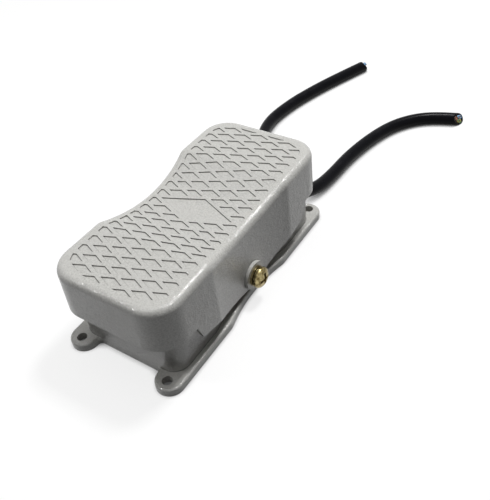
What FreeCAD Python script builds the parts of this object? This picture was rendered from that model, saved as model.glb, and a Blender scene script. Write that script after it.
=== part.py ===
"""Foot switch with a two-way rocking pedal, in millimetres.

A cast base tray with four mounting lugs carries a hollow cast pedal on two side screws. Pressing either
end of the pedal works the snap-action switch under that end. X is across, +Y runs to the cable end and
+Z is up. The origin is the centre of the base's underside.
"""
import FreeCAD
import Part
import math
import os

V = FreeCAD.Vector
OUT = "parts"

# Pedal casting
pedal_half_length = 72.0
pedal_half_width = 34.0
pedal_waist_depth = 3.5
pedal_corner_radius = 15.0
pedal_wall = 2.5
pedal_top_thickness = 3.0
pedal_top_z = 51.4
pedal_rim_radius = 3.6
pedal_draft = 1.5
waist_half_length = 35.0
waist_blend_radius = 8.0

# Base casting, inside the pedal
base_end_clearance = 4.0
base_side_clearance = 0.5
base_waist_depth = 3.8
base_corner_radius = 8.5
base_wall = 2.6
base_height = 33.0
floor_thickness = 3.0
foot_relief = 1.0
foot_land = 7.0

# Mounting flange and its lugs
flange_thickness = 4.5
flange_reach = 3.4
flange_waist_depth = 3.4
flange_waist_half_length = 27.0
flange_edge_radius = 1.2
lug_radius = 7.4
lug_reach = 9.9
lug_root_radius = 2.2
lug_hole_radius = 2.6
lug_hole_outset = 4.5

# Dished top of the pedal
dish_depth = 5.7
dish_half_length = 36.5
dish_blend_radius = 12.0

# Lower edge of the pedal's skirt
skirt_centre_z = 6.0
skirt_slope = 0.24
skirt_step_y = 48.2
skirt_step_run = 2.9
skirt_end_z = 26.3
skirt_tip_z = 26.8

# Tread of sunk rhombic cells round a plain panel
tread_pitch_x = 8.8
tread_pitch_y = 3.53
tread_rib = 0.31
tread_narrow_cell = 0.49
tread_depth = 0.55
tread_side_margin = 5.6
tread_end_margin = 5.8
tread_waist_depth = 2.3
tread_corner_radius = 11.5

# Pivot: a screw each side, in a bush in the pedal
pivot_z = 14.0
pivot_boss_radius = 8.0
pivot_boss_height = 2.0
pivot_screw_radius = 3.0
pivot_thread_length = 11.0
pivot_head_radius = 6.0
pivot_head_height = 4.8
pivot_slot_width = 1.5
pivot_slot_depth = 1.9
bush_wall = 1.1
bush_flange_radius = 6.3
bush_flange_thickness = 0.8
bush_pad_height = 0.3
bush_pad_margin = 0.6
washer_thickness = 1.0
washer_radius = 5.6
running_clearance = 0.06
base_boss_radius = 6.5
base_boss_length = 8.0

# Largest tilt each way, in degrees
tilt_limit = 6.0

# Snap-action switches, one under each end of the pedal
switch_length = 27.8
switch_width = 10.3
switch_height = 15.9
switch_inner_y = 10.0
switch_top_z = 31.0
switch_hole_pitch = 22.2
switch_hole_radius = 1.55
switch_hole_above_base = 2.9
switch_cover_thickness = 1.6
terminal_width = 4.8
terminal_thickness = 0.8
terminal_length = 6.4
terminal_pitch = 9.0
terminal_first_offset = 5.0
sleeve_width = 6.2
sleeve_depth = 2.6
sleeve_height = 6.0

# Lever and plunger of each switch
lever_hinge_offset = 2.5
lever_hinge_height = 1.3
lever_length = 35.5
lever_width = 4.0
lever_thickness = 0.6
lever_barrel_radius = 0.9
lever_rise = 13.0
hinge_ear_thickness = 1.0
hinge_ear_gap = 0.15
hinge_pin_radius = 0.4
plunger_offset = 9.0
plunger_radius = 1.5
plunger_depth = 5.0
plunger_floor_gap = 2.0
plunger_gap = 0.15

# Adjusting screw in the pedal, over each lever
striker_y = 44.0
striker_radius = 2.5
striker_gap = 0.3
striker_boss_radius = 5.0
striker_boss_drop = 3.2
striker_nut_across = 8.0
striker_nut_thickness = 2.7
striker_bite = 4.2

# Bracket that holds both switches
bracket_thickness = 1.5
bracket_half_length = 41.0
bracket_foot_width = 8.5
bracket_top_above_hole = 4.0
bracket_screw_y = 5.0
bracket_window_low = 6.0
bracket_window_high = 13.5
bracket_window_margin = 1.5
small_screw_radius = 1.5
small_head_radius = 2.8
small_head_height = 2.0
small_nut_across = 5.5
small_nut_thickness = 2.4
small_fit = 0.05

# Return springs
spring_x = 20.3
spring_y = 24.0
spring_radius = 3.6
spring_wire_radius = 0.5
spring_turns = 6
spring_arcs_per_turn = 4
spring_seat_z = 9.0
spring_post_radius = 4.6
spring_nub_radius = 2.5
spring_nub_height = 3.0
spring_cup_drop = 3.0
spring_end_gap = 0.05

# Rubber buffers that stop the tilt
buffer_inset = 8.0
buffer_radius = 4.5
buffer_height = 6.0
buffer_crown = 1.5
buffer_stem_radius = 1.8
buffer_stem_length = 4.0
buffer_gap = 0.35

# Cable entries in the end wall
cable_radius = 4.0
cable_x = 17.0
cable_z = 10.0
grommet_hole_radius = 4.7
grommet_flange_radius = 5.3
grommet_inner_radius = 5.1
grommet_flange_thickness = 2.0

# Cable saddles inside the base
saddle_inset = 12.5
saddle_length = 6.0
saddle_strap = 1.4
saddle_screw_offset = 8.4
tail_inset = 19.5
core_radius = 1.15
core_ring = 2.0
core_show = 0.9

# Earth screw on the floor
earth_x = 12.0
earth_y = 14.0
earth_boss_radius = 4.0
earth_boss_height = 3.0
ring_radius = 3.4
ring_thickness = 0.8
barrel_radius = 1.5
barrel_length = 4.0

# Single cores inside the base
wire_z = 11.0
wire_outer_x = 13.4
wire_inner_x = 10.3
earth_wire_z = 8.0
earth_wire_x = 12.0
wire_turn_y = 39.0

# Free cable routes, from the grommet's outer face, lying on the ground
right_route = [
    V(17.0, 67.5, 10.0),
    V(17.0, 83.5, 10.0),
    V(22.0, 105.0, 4.1),
    V(24.5, 132.0, 4.1),
    V(29.5, 158.0, 4.1),
    V(38.0, 178.5, 4.1),
    V(52.6, 195.0, 4.1),
    V(72.9, 203.4, 4.1),
]
left_route = [
    V(-17.0, 67.5, 10.0),
    V(-17.0, 83.5, 10.0),
    V(-22.5, 105.0, 4.1),
    V(-36.0, 123.0, 4.1),
    V(-45.3, 146.0, 4.1),
    V(-43.5, 172.0, 4.1),
    V(-36.5, 198.0, 4.1),
    V(-28.5, 222.5, 4.1),
    V(-19.5, 246.5, 4.1),
]
bend_share = 0.45

# Sizes that follow from those above
pedal_wall_slope = math.tan(math.radians(pedal_draft))
pedal_side_x = pedal_half_width - pedal_waist_depth + (pedal_top_z - dish_depth - pivot_z) * pedal_wall_slope
pivot_face_x = pedal_side_x + pivot_boss_height
base_half_length = pedal_half_length - pedal_wall - base_end_clearance
base_half_width = pedal_half_width - pedal_wall - base_side_clearance
base_side_x = base_half_width - base_waist_depth
flange_half_width = base_half_width + flange_reach
lug_half_length = base_half_length + lug_reach
mount_x = flange_half_width - lug_radius
mount_y = base_half_length + lug_hole_outset
tread_half_width = pedal_half_width - tread_side_margin
tread_half_length = pedal_half_length - tread_end_margin
buffer_y = base_half_length - buffer_inset
saddle_y = base_half_length - saddle_inset
tail_end_y = base_half_length - tail_inset
switch_base_z = switch_top_z - switch_height
switch_hole_z = switch_base_z + switch_hole_above_base
switch_centre_y = switch_inner_y + switch_length / 2
hinge_y = switch_inner_y + lever_hinge_offset
hinge_z = switch_top_z + lever_hinge_height


def box(low, high):
    """A box between two corners."""
    size = high.sub(low)
    return Part.makeBox(size.x, size.y, size.z, low)


def rod(radius, start, end):
    """A round bar from start to end."""
    along = end.sub(start)
    return Part.makeCylinder(radius, along.Length, start, along)


def tube(outer, inner, start, end):
    """A round bar with a bore."""
    reach = end.sub(start).normalize()
    return rod(outer, start, end).cut(rod(inner, start.sub(reach), end.add(reach)))


def hexagon(across, thickness, base):
    """A hexagonal prism that stands on base, +Z up."""
    corner = across / math.sqrt(3)
    turns = [math.radians(60 * k) for k in range(7)]
    points = [base.add(V(corner * math.cos(t), corner * math.sin(t), 0)) for t in turns]
    return Part.Face(Part.makePolygon(points)).extrude(V(0, 0, thickness))


def turned_to_x(shape, side):
    """Turns a shape made along +Z so that it lies along +X, or along -X where side is -1."""
    turned = shape.copy()
    turned.rotate(V(0, 0, 0), V(0, 1, 0), 90 * side)
    return turned


def moved(shape, x, y, z):
    """A copy of a shape, shifted."""
    placed = shape.copy()
    placed.translate(V(x, y, z))
    return placed


def mirrored_y(shape):
    """The same piece at the other end of the switch."""
    return shape.mirror(V(0, 0, 0), V(0, 1, 0))


def fused(shapes):
    """One solid from several that touch."""
    return shapes[0].multiFuse(shapes[1:]).removeSplitter()


def dip(half_length, depth, blend):
    """Points of a shallow round dip that runs out into a straight line with a blend.

    Gives the start of the blend, a point on it, where it meets the dip's arc, and the dip's middle, each as
    distance from the middle and depth below the line.
    """
    both = (half_length ** 2 + depth ** 2) / (2 * depth)
    share = blend / both
    lean = math.asin(half_length / both) / 2
    on_blend = (half_length - blend * math.sin(lean), blend * (1 - math.cos(lean)))
    meet = (half_length * (1 - share), depth * share)
    return (half_length, 0.0), on_blend, meet, (0.0, depth)


def waisted_wire(half_width, half_length, corner, depth, waist_half, blend, z):
    """A rounded rectangle with hollowed long sides, at height z."""
    start, on_blend, meet, middle = dip(waist_half, depth, blend)
    bow = corner * (1 - math.sqrt(0.5))
    edges = []
    for side in (1, -1):
        def at(x, y):
            return V(side * x, side * y, z)

        def along(point, sign):
            return at(half_width - point[1], sign * point[0])

        edges += [
            Part.Arc(along(meet, -1), along(middle, 1), along(meet, 1)).toShape(),
            Part.Arc(along(meet, 1), along(on_blend, 1), along(start, 1)).toShape(),
            Part.makeLine(along(start, 1), at(half_width, half_length - corner)),
            Part.Arc(at(half_width, half_length - corner), at(half_width - bow, half_length - bow),
                     at(half_width - corner, half_length)).toShape(),
            Part.makeLine(at(half_width - corner, half_length), at(corner - half_width, half_length)),
            Part.Arc(at(corner - half_width, half_length), at(bow - half_width, half_length - bow),
                     at(-half_width, half_length - corner)).toShape(),
            Part.makeLine(at(-half_width, half_length - corner), at(-half_width, start[0])),
            Part.Arc(at(-half_width, start[0]), at(on_blend[1] - half_width, on_blend[0]),
                     at(meet[1] - half_width, meet[0])).toShape(),
        ]
    return Part.Wire(edges)


def waisted_prism(half_width, half_length, corner, depth, waist_half, blend, z_low, z_high):
    """An upright block with the waisted outline."""
    wire = waisted_wire(half_width, half_length, corner, depth, waist_half, blend, z_low)
    return Part.Face(wire).extrude(V(0, 0, z_high - z_low))


def dish_edges(drop):
    """The pedal's top line in the YZ plane, from the -Y end to the +Y end, lowered by drop."""
    reach = pedal_half_length + pedal_rim_radius
    top = pedal_top_z - drop
    start, on_blend, meet, middle = dip(dish_half_length, dish_depth, dish_blend_radius)

    def at(point, sign):
        return V(0, sign * point[0], top - point[1])

    return [
        Part.makeLine(V(0, -reach, top), at(start, -1)),
        Part.Arc(at(start, -1), at(on_blend, -1), at(meet, -1)).toShape(),
        Part.Arc(at(meet, -1), at(middle, 1), at(meet, 1)).toShape(),
        Part.Arc(at(meet, 1), at(on_blend, 1), at(start, 1)).toShape(),
        Part.makeLine(at(start, 1), V(0, reach, top)),
    ]


def side_slab(edges, points):
    """Closes a line in the YZ plane through points, and extrudes it across the whole width."""
    start = edges[0].Vertexes[0].Point
    end = edges[-1].Vertexes[-1].Point
    rest = Part.makePolygon([end] + points + [start]).Edges
    face = Part.Face(Part.Wire(edges + rest))
    half = pedal_half_width + 2 * pivot_boss_height + 2
    return moved(face.extrude(V(2 * half, 0, 0)), -half, 0, 0)


def dish_z(y, drop=0.0):
    """Height of the pedal's top at y, lowered by drop."""
    start, on_blend, meet, middle = dip(dish_half_length, dish_depth, dish_blend_radius)
    radius = (dish_half_length ** 2 + dish_depth ** 2) / (2 * dish_depth) - dish_blend_radius
    top = pedal_top_z - drop
    if abs(y) <= meet[0]:
        return top - dish_depth + radius - math.sqrt(radius ** 2 - y ** 2)
    if abs(y) >= start[0]:
        return top
    return top - dish_blend_radius + math.sqrt(dish_blend_radius ** 2 - (start[0] - abs(y)) ** 2)


def pedal_block(inset, z_low, z_high):
    """The pedal's drafted outline, set in by inset, between two heights."""
    def wire(z):
        spread = (pedal_top_z - z) * pedal_wall_slope - inset
        return waisted_wire(pedal_half_width + spread, pedal_half_length + spread,
                            pedal_corner_radius + spread, pedal_waist_depth, waist_half_length,
                            waist_blend_radius, z)
    return Part.makeLoft([wire(z_low), wire(z_high)], True, True)


def skirt_points():
    """The skirt's lower edge in the YZ plane, from the +Y end to the -Y end."""
    reach = pedal_half_length + pedal_rim_radius
    step_z = skirt_centre_z + skirt_slope * skirt_step_y
    half = [(0.0, skirt_centre_z), (skirt_step_y, step_z), (skirt_step_y + skirt_step_run, skirt_end_z),
            (pedal_half_length, skirt_tip_z), (reach, skirt_tip_z)]
    right = [V(0, y, z) for y, z in reversed(half)]
    left = [V(0, -y, z) for y, z in half[1:]]
    return right + left


def tread_cells():
    """Corners of every sunk cell, and of the plain panel, as pairs along the two rib directions."""
    cell = 1.0 - tread_rib
    half = (2.0 + tread_narrow_cell) / 2
    count = int(pedal_half_length / tread_pitch_y)
    outer = [(half + tread_rib + k, half + 1 + k) for k in range(count)]
    plain = [(-high, -low) for low, high in reversed(outer)]
    wide_first = [(-half, cell - half), (1 - half, 1 + cell - half), (half - tread_narrow_cell, half)]
    narrow_first = [(-high, -low) for low, high in reversed(wide_first)]
    cells = [((-half, half), (-half, half))]
    for low, high in plain:
        cells += [(across, (low, high)) for across in plain + wide_first + outer]
    for low, high in outer:
        cells += [(across, (low, high)) for across in plain + narrow_first + outer]
    for across in outer:
        cells += [(across, along) for along in narrow_first]
    for across in plain:
        cells += [(across, along) for along in wide_first]
    return cells


def tread_cutters():
    """The solids that sink the tread's cells into the pedal's top."""
    z_low = pedal_top_z - dish_depth - 2 * tread_depth
    z_high = pedal_top_z + tread_depth
    field = waisted_prism(tread_half_width, tread_half_length, tread_corner_radius, tread_waist_depth,
                          waist_half_length, waist_blend_radius, z_low, z_high)
    above = side_slab(dish_edges(tread_depth), [
        V(0, pedal_half_length + pedal_rim_radius, z_high),
        V(0, -pedal_half_length - pedal_rim_radius, z_high)])
    field = field.common(above)
    prisms = []
    for (u_low, u_high), (v_low, v_high) in tread_cells():
        corners = [(u_low, v_low), (u_high, v_low), (u_high, v_high), (u_low, v_high)]
        plan = [(tread_pitch_x * (u + v), tread_pitch_y * (u - v)) for u, v in corners]
        if min(abs(x) for x, y in plan) > tread_half_width:
            continue
        if min(abs(y) for x, y in plan) > tread_half_length:
            continue
        points = [V(x, y, z_low) for x, y in plan]
        prisms.append(Part.Face(Part.makePolygon(points + points[:1])).extrude(V(0, 0, z_high - z_low)))
    cut = field.common(Part.makeCompound(prisms))
    smallest = 0.05 * tread_depth * tread_pitch_x * tread_pitch_y
    return Part.makeCompound([s for s in cut.Solids if s.Volume > smallest])


def rim_edges(shape):
    """The edges round the pedal's top."""
    found = []
    for edge in shape.Edges:
        points = [edge.valueAt(p) for p in (edge.FirstParameter, edge.LastParameter,
                                            (edge.FirstParameter + edge.LastParameter) / 2)]
        on_top = all(abs(p.z - dish_z(p.y)) < 0.01 for p in points)
        at_side = all(abs(p.x) > 1 or abs(p.y) > pedal_half_length - 1 for p in points)
        if on_top and at_side and not across_top(points):
            found.append(edge)
    return found


def across_top(points):
    """True for an edge that runs across the pedal's top, where flat and dish meet."""
    same_y = abs(points[0].y - points[1].y) < 0.001
    return same_y and abs(points[0].y) < pedal_half_length - pedal_corner_radius


def make_pedal():
    """The hollow pedal casting, with its tread, side bosses, striker bosses and spring cups."""
    reach = pedal_half_length + pedal_rim_radius
    outer = pedal_block(0.0, 0.0, pedal_top_z + 1)
    outer = outer.common(side_slab(dish_edges(0.0), skirt_points()))
    outer = outer.makeFillet(pedal_rim_radius, rim_edges(outer))
    bosses = [rod(pivot_boss_radius, V(0, 0, pivot_z), V(s * pivot_face_x, 0, pivot_z)) for s in (1, -1)]
    outer = fused([outer] + bosses)
    cavity = pedal_block(pedal_wall, -1.0, pedal_top_z)
    cavity = cavity.common(side_slab(dish_edges(pedal_top_thickness), [V(0, reach, -2), V(0, -reach, -2)]))
    shell = outer.cut(cavity)
    under = pedal_top_z - pedal_top_thickness
    inside = [rod(bush_flange_radius + bush_pad_margin, V(s * bush_seat_x(), 0, pivot_z),
                  V(s * (pedal_side_x - pedal_wall / 2), 0, pivot_z)) for s in (1, -1)]
    for end in (1, -1):
        inside.append(rod(striker_boss_radius, V(0, end * striker_y, under - striker_boss_drop),
                          V(0, end * striker_y, under + 1)))
        for side in (1, -1):
            cup_z = spring_top_z()
            at = V(side * spring_x, end * spring_y, 0)
            inside.append(rod(spring_post_radius, at.add(V(0, 0, cup_z)),
                              at.add(V(0, 0, dish_z(spring_y, pedal_top_thickness) + 1))))
            inside.append(rod(spring_nub_radius, at.add(V(0, 0, cup_z - spring_nub_height)),
                              at.add(V(0, 0, cup_z + 1))))
    shell = fused([shell] + inside)
    holes = [rod(bush_radius(), V(0, 0, pivot_z), V(s * (pivot_face_x + 1), 0, pivot_z)) for s in (1, -1)]
    holes += [rod(striker_radius, V(0, e * striker_y, 0), V(0, e * striker_y, striker_top_z()))
              for e in (1, -1)]
    return shell.cut(Part.makeCompound(holes)).cut(tread_cutters())


def bush_radius():
    """Outer radius of the pivot bush."""
    return pivot_screw_radius + running_clearance + bush_wall


def spring_top_z():
    """Underside of the pedal's spring seats."""
    return dish_z(spring_y, pedal_top_thickness) - spring_cup_drop


def lever_top_at(y):
    """Height of the lever's upper face at rest."""
    rise = math.radians(lever_rise)
    return hinge_z + (y - hinge_y) * math.tan(rise) + lever_thickness / 2 / math.cos(rise)


def striker_centre_z():
    """Centre of the adjusting screw's round tip."""
    rise = math.radians(lever_rise)
    return lever_top_at(striker_y) + (striker_radius + striker_gap) / math.cos(rise)


def striker_top_z():
    """Upper end of the adjusting screw, inside its boss."""
    return pedal_top_z - pedal_top_thickness - striker_boss_drop + striker_bite


def flange_outline():
    """The mounting flange with its lugs, as one flat block."""
    plate = waisted_prism(flange_half_width, base_half_length, 0.5, flange_waist_depth,
                          flange_waist_half_length, waist_blend_radius, 0.0, flange_thickness)
    parts = [plate]
    eye_y = lug_half_length - lug_radius
    root_y = base_half_length + lug_root_radius
    short = max(0.0, root_y - eye_y)
    root_x = mount_x - math.sqrt((lug_radius + lug_root_radius) ** 2 - short ** 2)
    meet_y = min(root_y, eye_y) + short * lug_radius / (lug_radius + lug_root_radius)
    for sx in (1, -1):
        for sy in (1, -1):
            eye = Part.makeCylinder(lug_radius, flange_thickness, V(sx * mount_x, sy * eye_y, 0))
            low_x, high_x = sorted((sx * (mount_x - lug_radius), sx * (mount_x + lug_radius)))
            low_y, high_y = sorted((sy * (base_half_length - 5), sy * eye_y))
            neck = box(V(low_x, low_y, 0), V(high_x, high_y, flange_thickness))
            web_low, web_high = sorted((sx * root_x, sx * mount_x))
            web_y = sorted((sy * (base_half_length - 1), sy * meet_y))
            web = box(V(web_low, web_y[0], 0), V(web_high, web_y[1], flange_thickness))
            web = web.cut(Part.makeCylinder(lug_root_radius, flange_thickness, V(sx * root_x, sy * root_y, 0)))
            parts += [eye, neck, web]
    return fused(parts)


def flange_top_edges(shape):
    """The upper outside edges of the flange."""
    found = []
    for edge in shape.Edges:
        points = [v.Point for v in edge.Vertexes] + [edge.CenterOfMass]
        if all(abs(p.z - flange_thickness) < 0.01 for p in points):
            found.append(edge)
    return found


def make_base():
    """The base casting: tray, flange, lugs, bosses and cable holes."""
    flange = flange_outline()
    flange = flange.makeFillet(flange_edge_radius, flange_top_edges(flange))
    walls = waisted_prism(base_half_width, base_half_length, base_corner_radius, base_waist_depth,
                          waist_half_length, waist_blend_radius, 0.0, base_height)
    inner_corner = base_corner_radius - base_wall
    room = waisted_prism(base_half_width - base_wall, base_half_length - base_wall, inner_corner,
                         base_waist_depth, waist_half_length, waist_blend_radius, floor_thickness,
                         base_height + 1)
    tray = fused([flange, walls]).cut(room)
    relief = waisted_prism(base_half_width - foot_land, base_half_length - foot_land,
                           base_corner_radius - base_wall, base_waist_depth, waist_half_length,
                           waist_blend_radius, -1.0, foot_relief)
    tray = tray.cut(relief)
    inside = []
    for side in (1, -1):
        inner = side * (base_side_x - base_boss_length - base_wall)
        wall = side * (base_side_x - base_wall / 2)
        inside.append(rod(base_boss_radius, V(inner, 0, pivot_z), V(wall, 0, pivot_z)))
        low_x, high_x = sorted((inner, wall))
        inside.append(box(V(low_x, -base_wall / 2, floor_thickness / 2), V(high_x, base_wall / 2, pivot_z)))
        inside.append(rod(spring_post_radius, V(side * spring_x, spring_y, floor_thickness / 2),
                          V(side * spring_x, spring_y, spring_seat_z)))
        inside.append(rod(spring_post_radius, V(side * spring_x, -spring_y, floor_thickness / 2),
                          V(side * spring_x, -spring_y, spring_seat_z)))
        for end in (1, -1):
            inside.append(rod(spring_nub_radius, V(side * spring_x, end * spring_y, floor_thickness),
                              V(side * spring_x, end * spring_y, spring_seat_z + spring_nub_height)))
        at = side * cable_x
        inside.append(box(V(at - saddle_screw_offset - small_head_radius, saddle_y - saddle_length / 2,
                            floor_thickness / 2),
                          V(at + saddle_screw_offset + small_head_radius, saddle_y + saddle_length / 2,
                            cable_z - cable_radius)))
    for end in (1, -1):
        inside.append(rod(buffer_radius, V(0, end * buffer_y, floor_thickness / 2),
                          V(0, end * buffer_y, buffer_seat_z())))
    inside.append(rod(earth_boss_radius, V(earth_x, -earth_y, floor_thickness / 2),
                      V(earth_x, -earth_y, floor_thickness + earth_boss_height)))
    tray = fused([tray] + inside)
    return tray.cut(Part.makeCompound(base_holes()))


def base_holes():
    """Every hole through or into the base."""
    holes = []
    for sx in (1, -1):
        inner = sx * (base_side_x - base_boss_length - base_wall - 1)
        holes.append(rod(pivot_screw_radius, V(inner, 0, pivot_z), V(sx * (base_half_width + 1), 0, pivot_z)))
        holes.append(rod(grommet_hole_radius, V(sx * cable_x, base_half_length - base_wall - 1, cable_z),
                         V(sx * cable_x, base_half_length + 1, cable_z)))
        for sy in (1, -1):
            at = V(sx * mount_x, sy * mount_y, -1)
            holes.append(rod(lug_hole_radius, at, at.add(V(0, 0, flange_thickness + 2))))
            at = V(sx * cable_x + sy * saddle_screw_offset, saddle_y, floor_thickness)
            holes.append(rod(small_screw_radius, at, at.add(V(0, 0, base_height))))
    for sy in (1, -1):
        holes.append(rod(small_screw_radius, V(bracket_screw_x(), sy * bracket_screw_y, 0),
                         V(bracket_screw_x(), sy * bracket_screw_y, base_height)))
        holes.append(rod(buffer_stem_radius, V(0, sy * buffer_y, buffer_seat_z() - buffer_stem_length),
                         V(0, sy * buffer_y, buffer_seat_z() + 1)))
    holes.append(rod(small_screw_radius, V(earth_x, -earth_y, foot_relief + 0.5),
                     V(earth_x, -earth_y, base_height)))
    return holes


def buffer_seat_z():
    """Top of the posts that carry the rubber buffers, set by where the tilted pedal stops."""
    turn = math.radians(tilt_limit)
    level = pedal_top_z - pedal_top_thickness - pivot_z
    out = buffer_y + buffer_radius
    stop = pivot_z + (level - out * math.sin(turn)) / math.cos(turn)
    return stop - buffer_gap - buffer_height


def bracket_screw_x():
    """Distance of the bracket's floor screws from the middle."""
    return -switch_width / 2 - bracket_foot_width / 2 - bracket_thickness / 2


def tangent_path(points, share):
    """Straight runs joined by arcs, each as large as its two runs allow. Gives the wire and the radii."""
    edges, radii = [], []
    start = points[0]
    for before, corner, after in zip(points, points[1:], points[2:]):
        back, ahead = before.sub(corner), after.sub(corner)
        reach = share * min(back.Length, ahead.Length)
        half_turn = (math.pi - back.getAngle(ahead)) / 2
        radius = reach / math.tan(half_turn)
        first = corner.add(V(back).normalize().multiply(reach))
        last = corner.add(V(ahead).normalize().multiply(reach))
        inward = V(back).normalize().add(V(ahead).normalize()).normalize()
        middle = corner.add(inward.multiply(radius / math.cos(half_turn) - radius))
        edges += [Part.LineSegment(start, first).toShape(), Part.Arc(first, middle, last).toShape()]
        radii.append(radius)
        start = last
    edges.append(Part.LineSegment(start, points[-1]).toShape())
    return Part.Wire(edges), radii


def swept(points, radius, share, name):
    """A round cable or core along a route. Prints its bends and its length."""
    path, radii = tangent_path(points, share)
    ring = Part.Wire(Part.Circle(points[0], points[1].sub(points[0]), radius).toShape())
    tube_shape = path.makePipeShell([ring], True, True)
    expected = math.pi * radius ** 2 * path.Length
    print(name, "length", round(path.Length, 1), "radii", [round(r, 1) for r in radii],
          "volume over expected", round(tube_shape.Volume / expected, 4))
    return tube_shape


def pivot_screw(side):
    """A pan-head screw with a cross recess, screwed into the base's pivot boss."""
    seat = pivot_face_x + washer_thickness
    shank = rod(pivot_screw_radius, V(0, 0, 0), V(0, 0, seat - screw_tip_x()))
    shank = moved(shank, 0, 0, screw_tip_x() - seat)
    head = Part.makeCylinder(pivot_head_radius, pivot_head_height)
    crown = [e for e in head.Edges if abs(e.CenterOfMass.z - pivot_head_height) < 0.01]
    head = head.makeFillet(pivot_head_height * 0.7, crown)
    arm = pivot_head_radius * 0.62
    slot = box(V(-arm, -pivot_slot_width / 2, pivot_head_height - pivot_slot_depth),
               V(arm, pivot_slot_width / 2, pivot_head_height + 1))
    cross = slot.copy()
    cross.rotate(V(0, 0, 0), V(0, 0, 1), 90)
    head = head.cut(slot).cut(cross)
    screw = turned_to_x(fused([shank, head]), side)
    return moved(screw, side * seat, 0, pivot_z)


def screw_tip_x():
    """How near the middle the pivot screw's tip comes."""
    return base_side_x - pivot_thread_length


def pivot_washer(side):
    """The flat washer under the pivot screw's head."""
    return tube(washer_radius, pivot_screw_radius + small_fit, V(side * pivot_face_x, 0, pivot_z),
                V(side * (pivot_face_x + washer_thickness), 0, pivot_z))


def bush_seat_x():
    """Inner face of the pad that the bush's collar sits on."""
    return pedal_side_x - pedal_wall - bush_pad_height


def pivot_bush(side):
    """The flanged bush in the pedal that turns on the pivot screw."""
    inner_x = bush_seat_x()
    sleeve = tube(bush_radius(), pivot_screw_radius + running_clearance, V(side * inner_x, 0, pivot_z),
                  V(side * pivot_face_x, 0, pivot_z))
    collar = tube(bush_flange_radius, pivot_screw_radius + running_clearance, V(side * inner_x, 0, pivot_z),
                  V(side * (inner_x - bush_flange_thickness), 0, pivot_z))
    return fused([sleeve, collar])


def return_spring(side, end):
    """A compression spring between a post in the base and a cup in the pedal."""
    low = spring_seat_z + spring_end_gap + spring_wire_radius
    high = spring_top_z() - spring_end_gap - spring_wire_radius

    def on_coil(share):
        turn = 2 * math.pi * spring_turns * share
        return V(spring_radius * math.cos(turn), spring_radius * math.sin(turn), (high - low) * share)

    arcs = spring_turns * spring_arcs_per_turn
    edges = [Part.Arc(on_coil(k / arcs), on_coil((k + 0.5) / arcs), on_coil((k + 1) / arcs)).toShape()
             for k in range(arcs)]
    heading = on_coil(0.001).sub(on_coil(0.0))
    ring = Part.Wire(Part.Circle(on_coil(0.0), heading, spring_wire_radius).toShape())
    coil = Part.Wire(edges).makePipeShell([ring], True, True)
    return moved(coil, side * spring_x, end * spring_y, low)


def switch_bracket():
    """The bent plate that carries both switches, with windows for their wires."""
    wall_x = -switch_width / 2
    top = switch_hole_z + bracket_top_above_hole
    upright = box(V(wall_x - bracket_thickness, -bracket_half_length, floor_thickness),
                  V(wall_x, bracket_half_length, top))
    foot = box(V(wall_x - bracket_foot_width - bracket_thickness, -bracket_half_length, floor_thickness),
               V(wall_x, bracket_half_length, floor_thickness + bracket_thickness))
    plate = fused([upright, foot])
    cuts = []
    for end in (1, -1):
        near = end * (switch_inner_y + bracket_window_margin)
        far = end * (switch_inner_y + switch_length - bracket_window_margin)
        low_y, high_y = sorted((near, far))
        cuts.append(box(V(wall_x - bracket_thickness - 1, low_y, bracket_window_low),
                        V(wall_x + 1, high_y, bracket_window_high)))
        for y in switch_hole_places():
            cuts.append(rod(switch_hole_radius, V(wall_x - bracket_thickness - 1, end * y, switch_hole_z),
                            V(wall_x + 1, end * y, switch_hole_z)))
        cuts.append(rod(small_screw_radius + small_fit, V(bracket_screw_x(), end * bracket_screw_y, 0),
                        V(bracket_screw_x(), end * bracket_screw_y, base_height)))
    return plate.cut(Part.makeCompound(cuts))


def switch_hole_places():
    """Y of the two mounting holes through a switch."""
    return [switch_centre_y - switch_hole_pitch / 2, switch_centre_y + switch_hole_pitch / 2]


def switch_holes(reach):
    """The bores through a switch for its mounting screws."""
    return Part.makeCompound([rod(switch_hole_radius, V(-reach, y, switch_hole_z), V(reach, y, switch_hole_z))
                              for y in switch_hole_places()])


def switch_case():
    """The moulded case of the back switch, with its plunger bore and the ears for the lever."""
    cover_x = switch_width / 2 - switch_cover_thickness
    case = box(V(-switch_width / 2, switch_inner_y, switch_base_z),
               V(cover_x, switch_inner_y + switch_length, switch_top_z))
    ears = []
    for side in (1, -1):
        near = side * (lever_width / 2 + hinge_ear_gap)
        far = near + side * hinge_ear_thickness
        low_x, high_x = sorted((near, far))
        ears.append(box(V(low_x, hinge_y - lever_barrel_radius, switch_top_z - 1),
                        V(high_x, hinge_y + lever_barrel_radius, hinge_z)))
        ears.append(rod(lever_barrel_radius, V(near, hinge_y, hinge_z), V(far, hinge_y, hinge_z)))
    case = fused([case] + ears)
    plunger_y = switch_inner_y + plunger_offset
    bore = rod(plunger_radius + running_clearance,
               V(0, plunger_y, switch_top_z - plunger_depth - plunger_floor_gap),
               V(0, plunger_y, switch_top_z + 1))
    pin_hole = rod(hinge_pin_radius, V(-switch_width / 2, hinge_y, hinge_z),
                   V(switch_width / 2, hinge_y, hinge_z))
    return case.cut(Part.makeCompound([bore, pin_hole])).cut(switch_holes(switch_width))


def switch_cover():
    """The flat cover that closes the switch case."""
    cover_x = switch_width / 2 - switch_cover_thickness
    cover = box(V(cover_x, switch_inner_y, switch_base_z),
                V(switch_width / 2, switch_inner_y + switch_length, switch_top_z))
    return cover.cut(switch_holes(switch_width))


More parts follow.
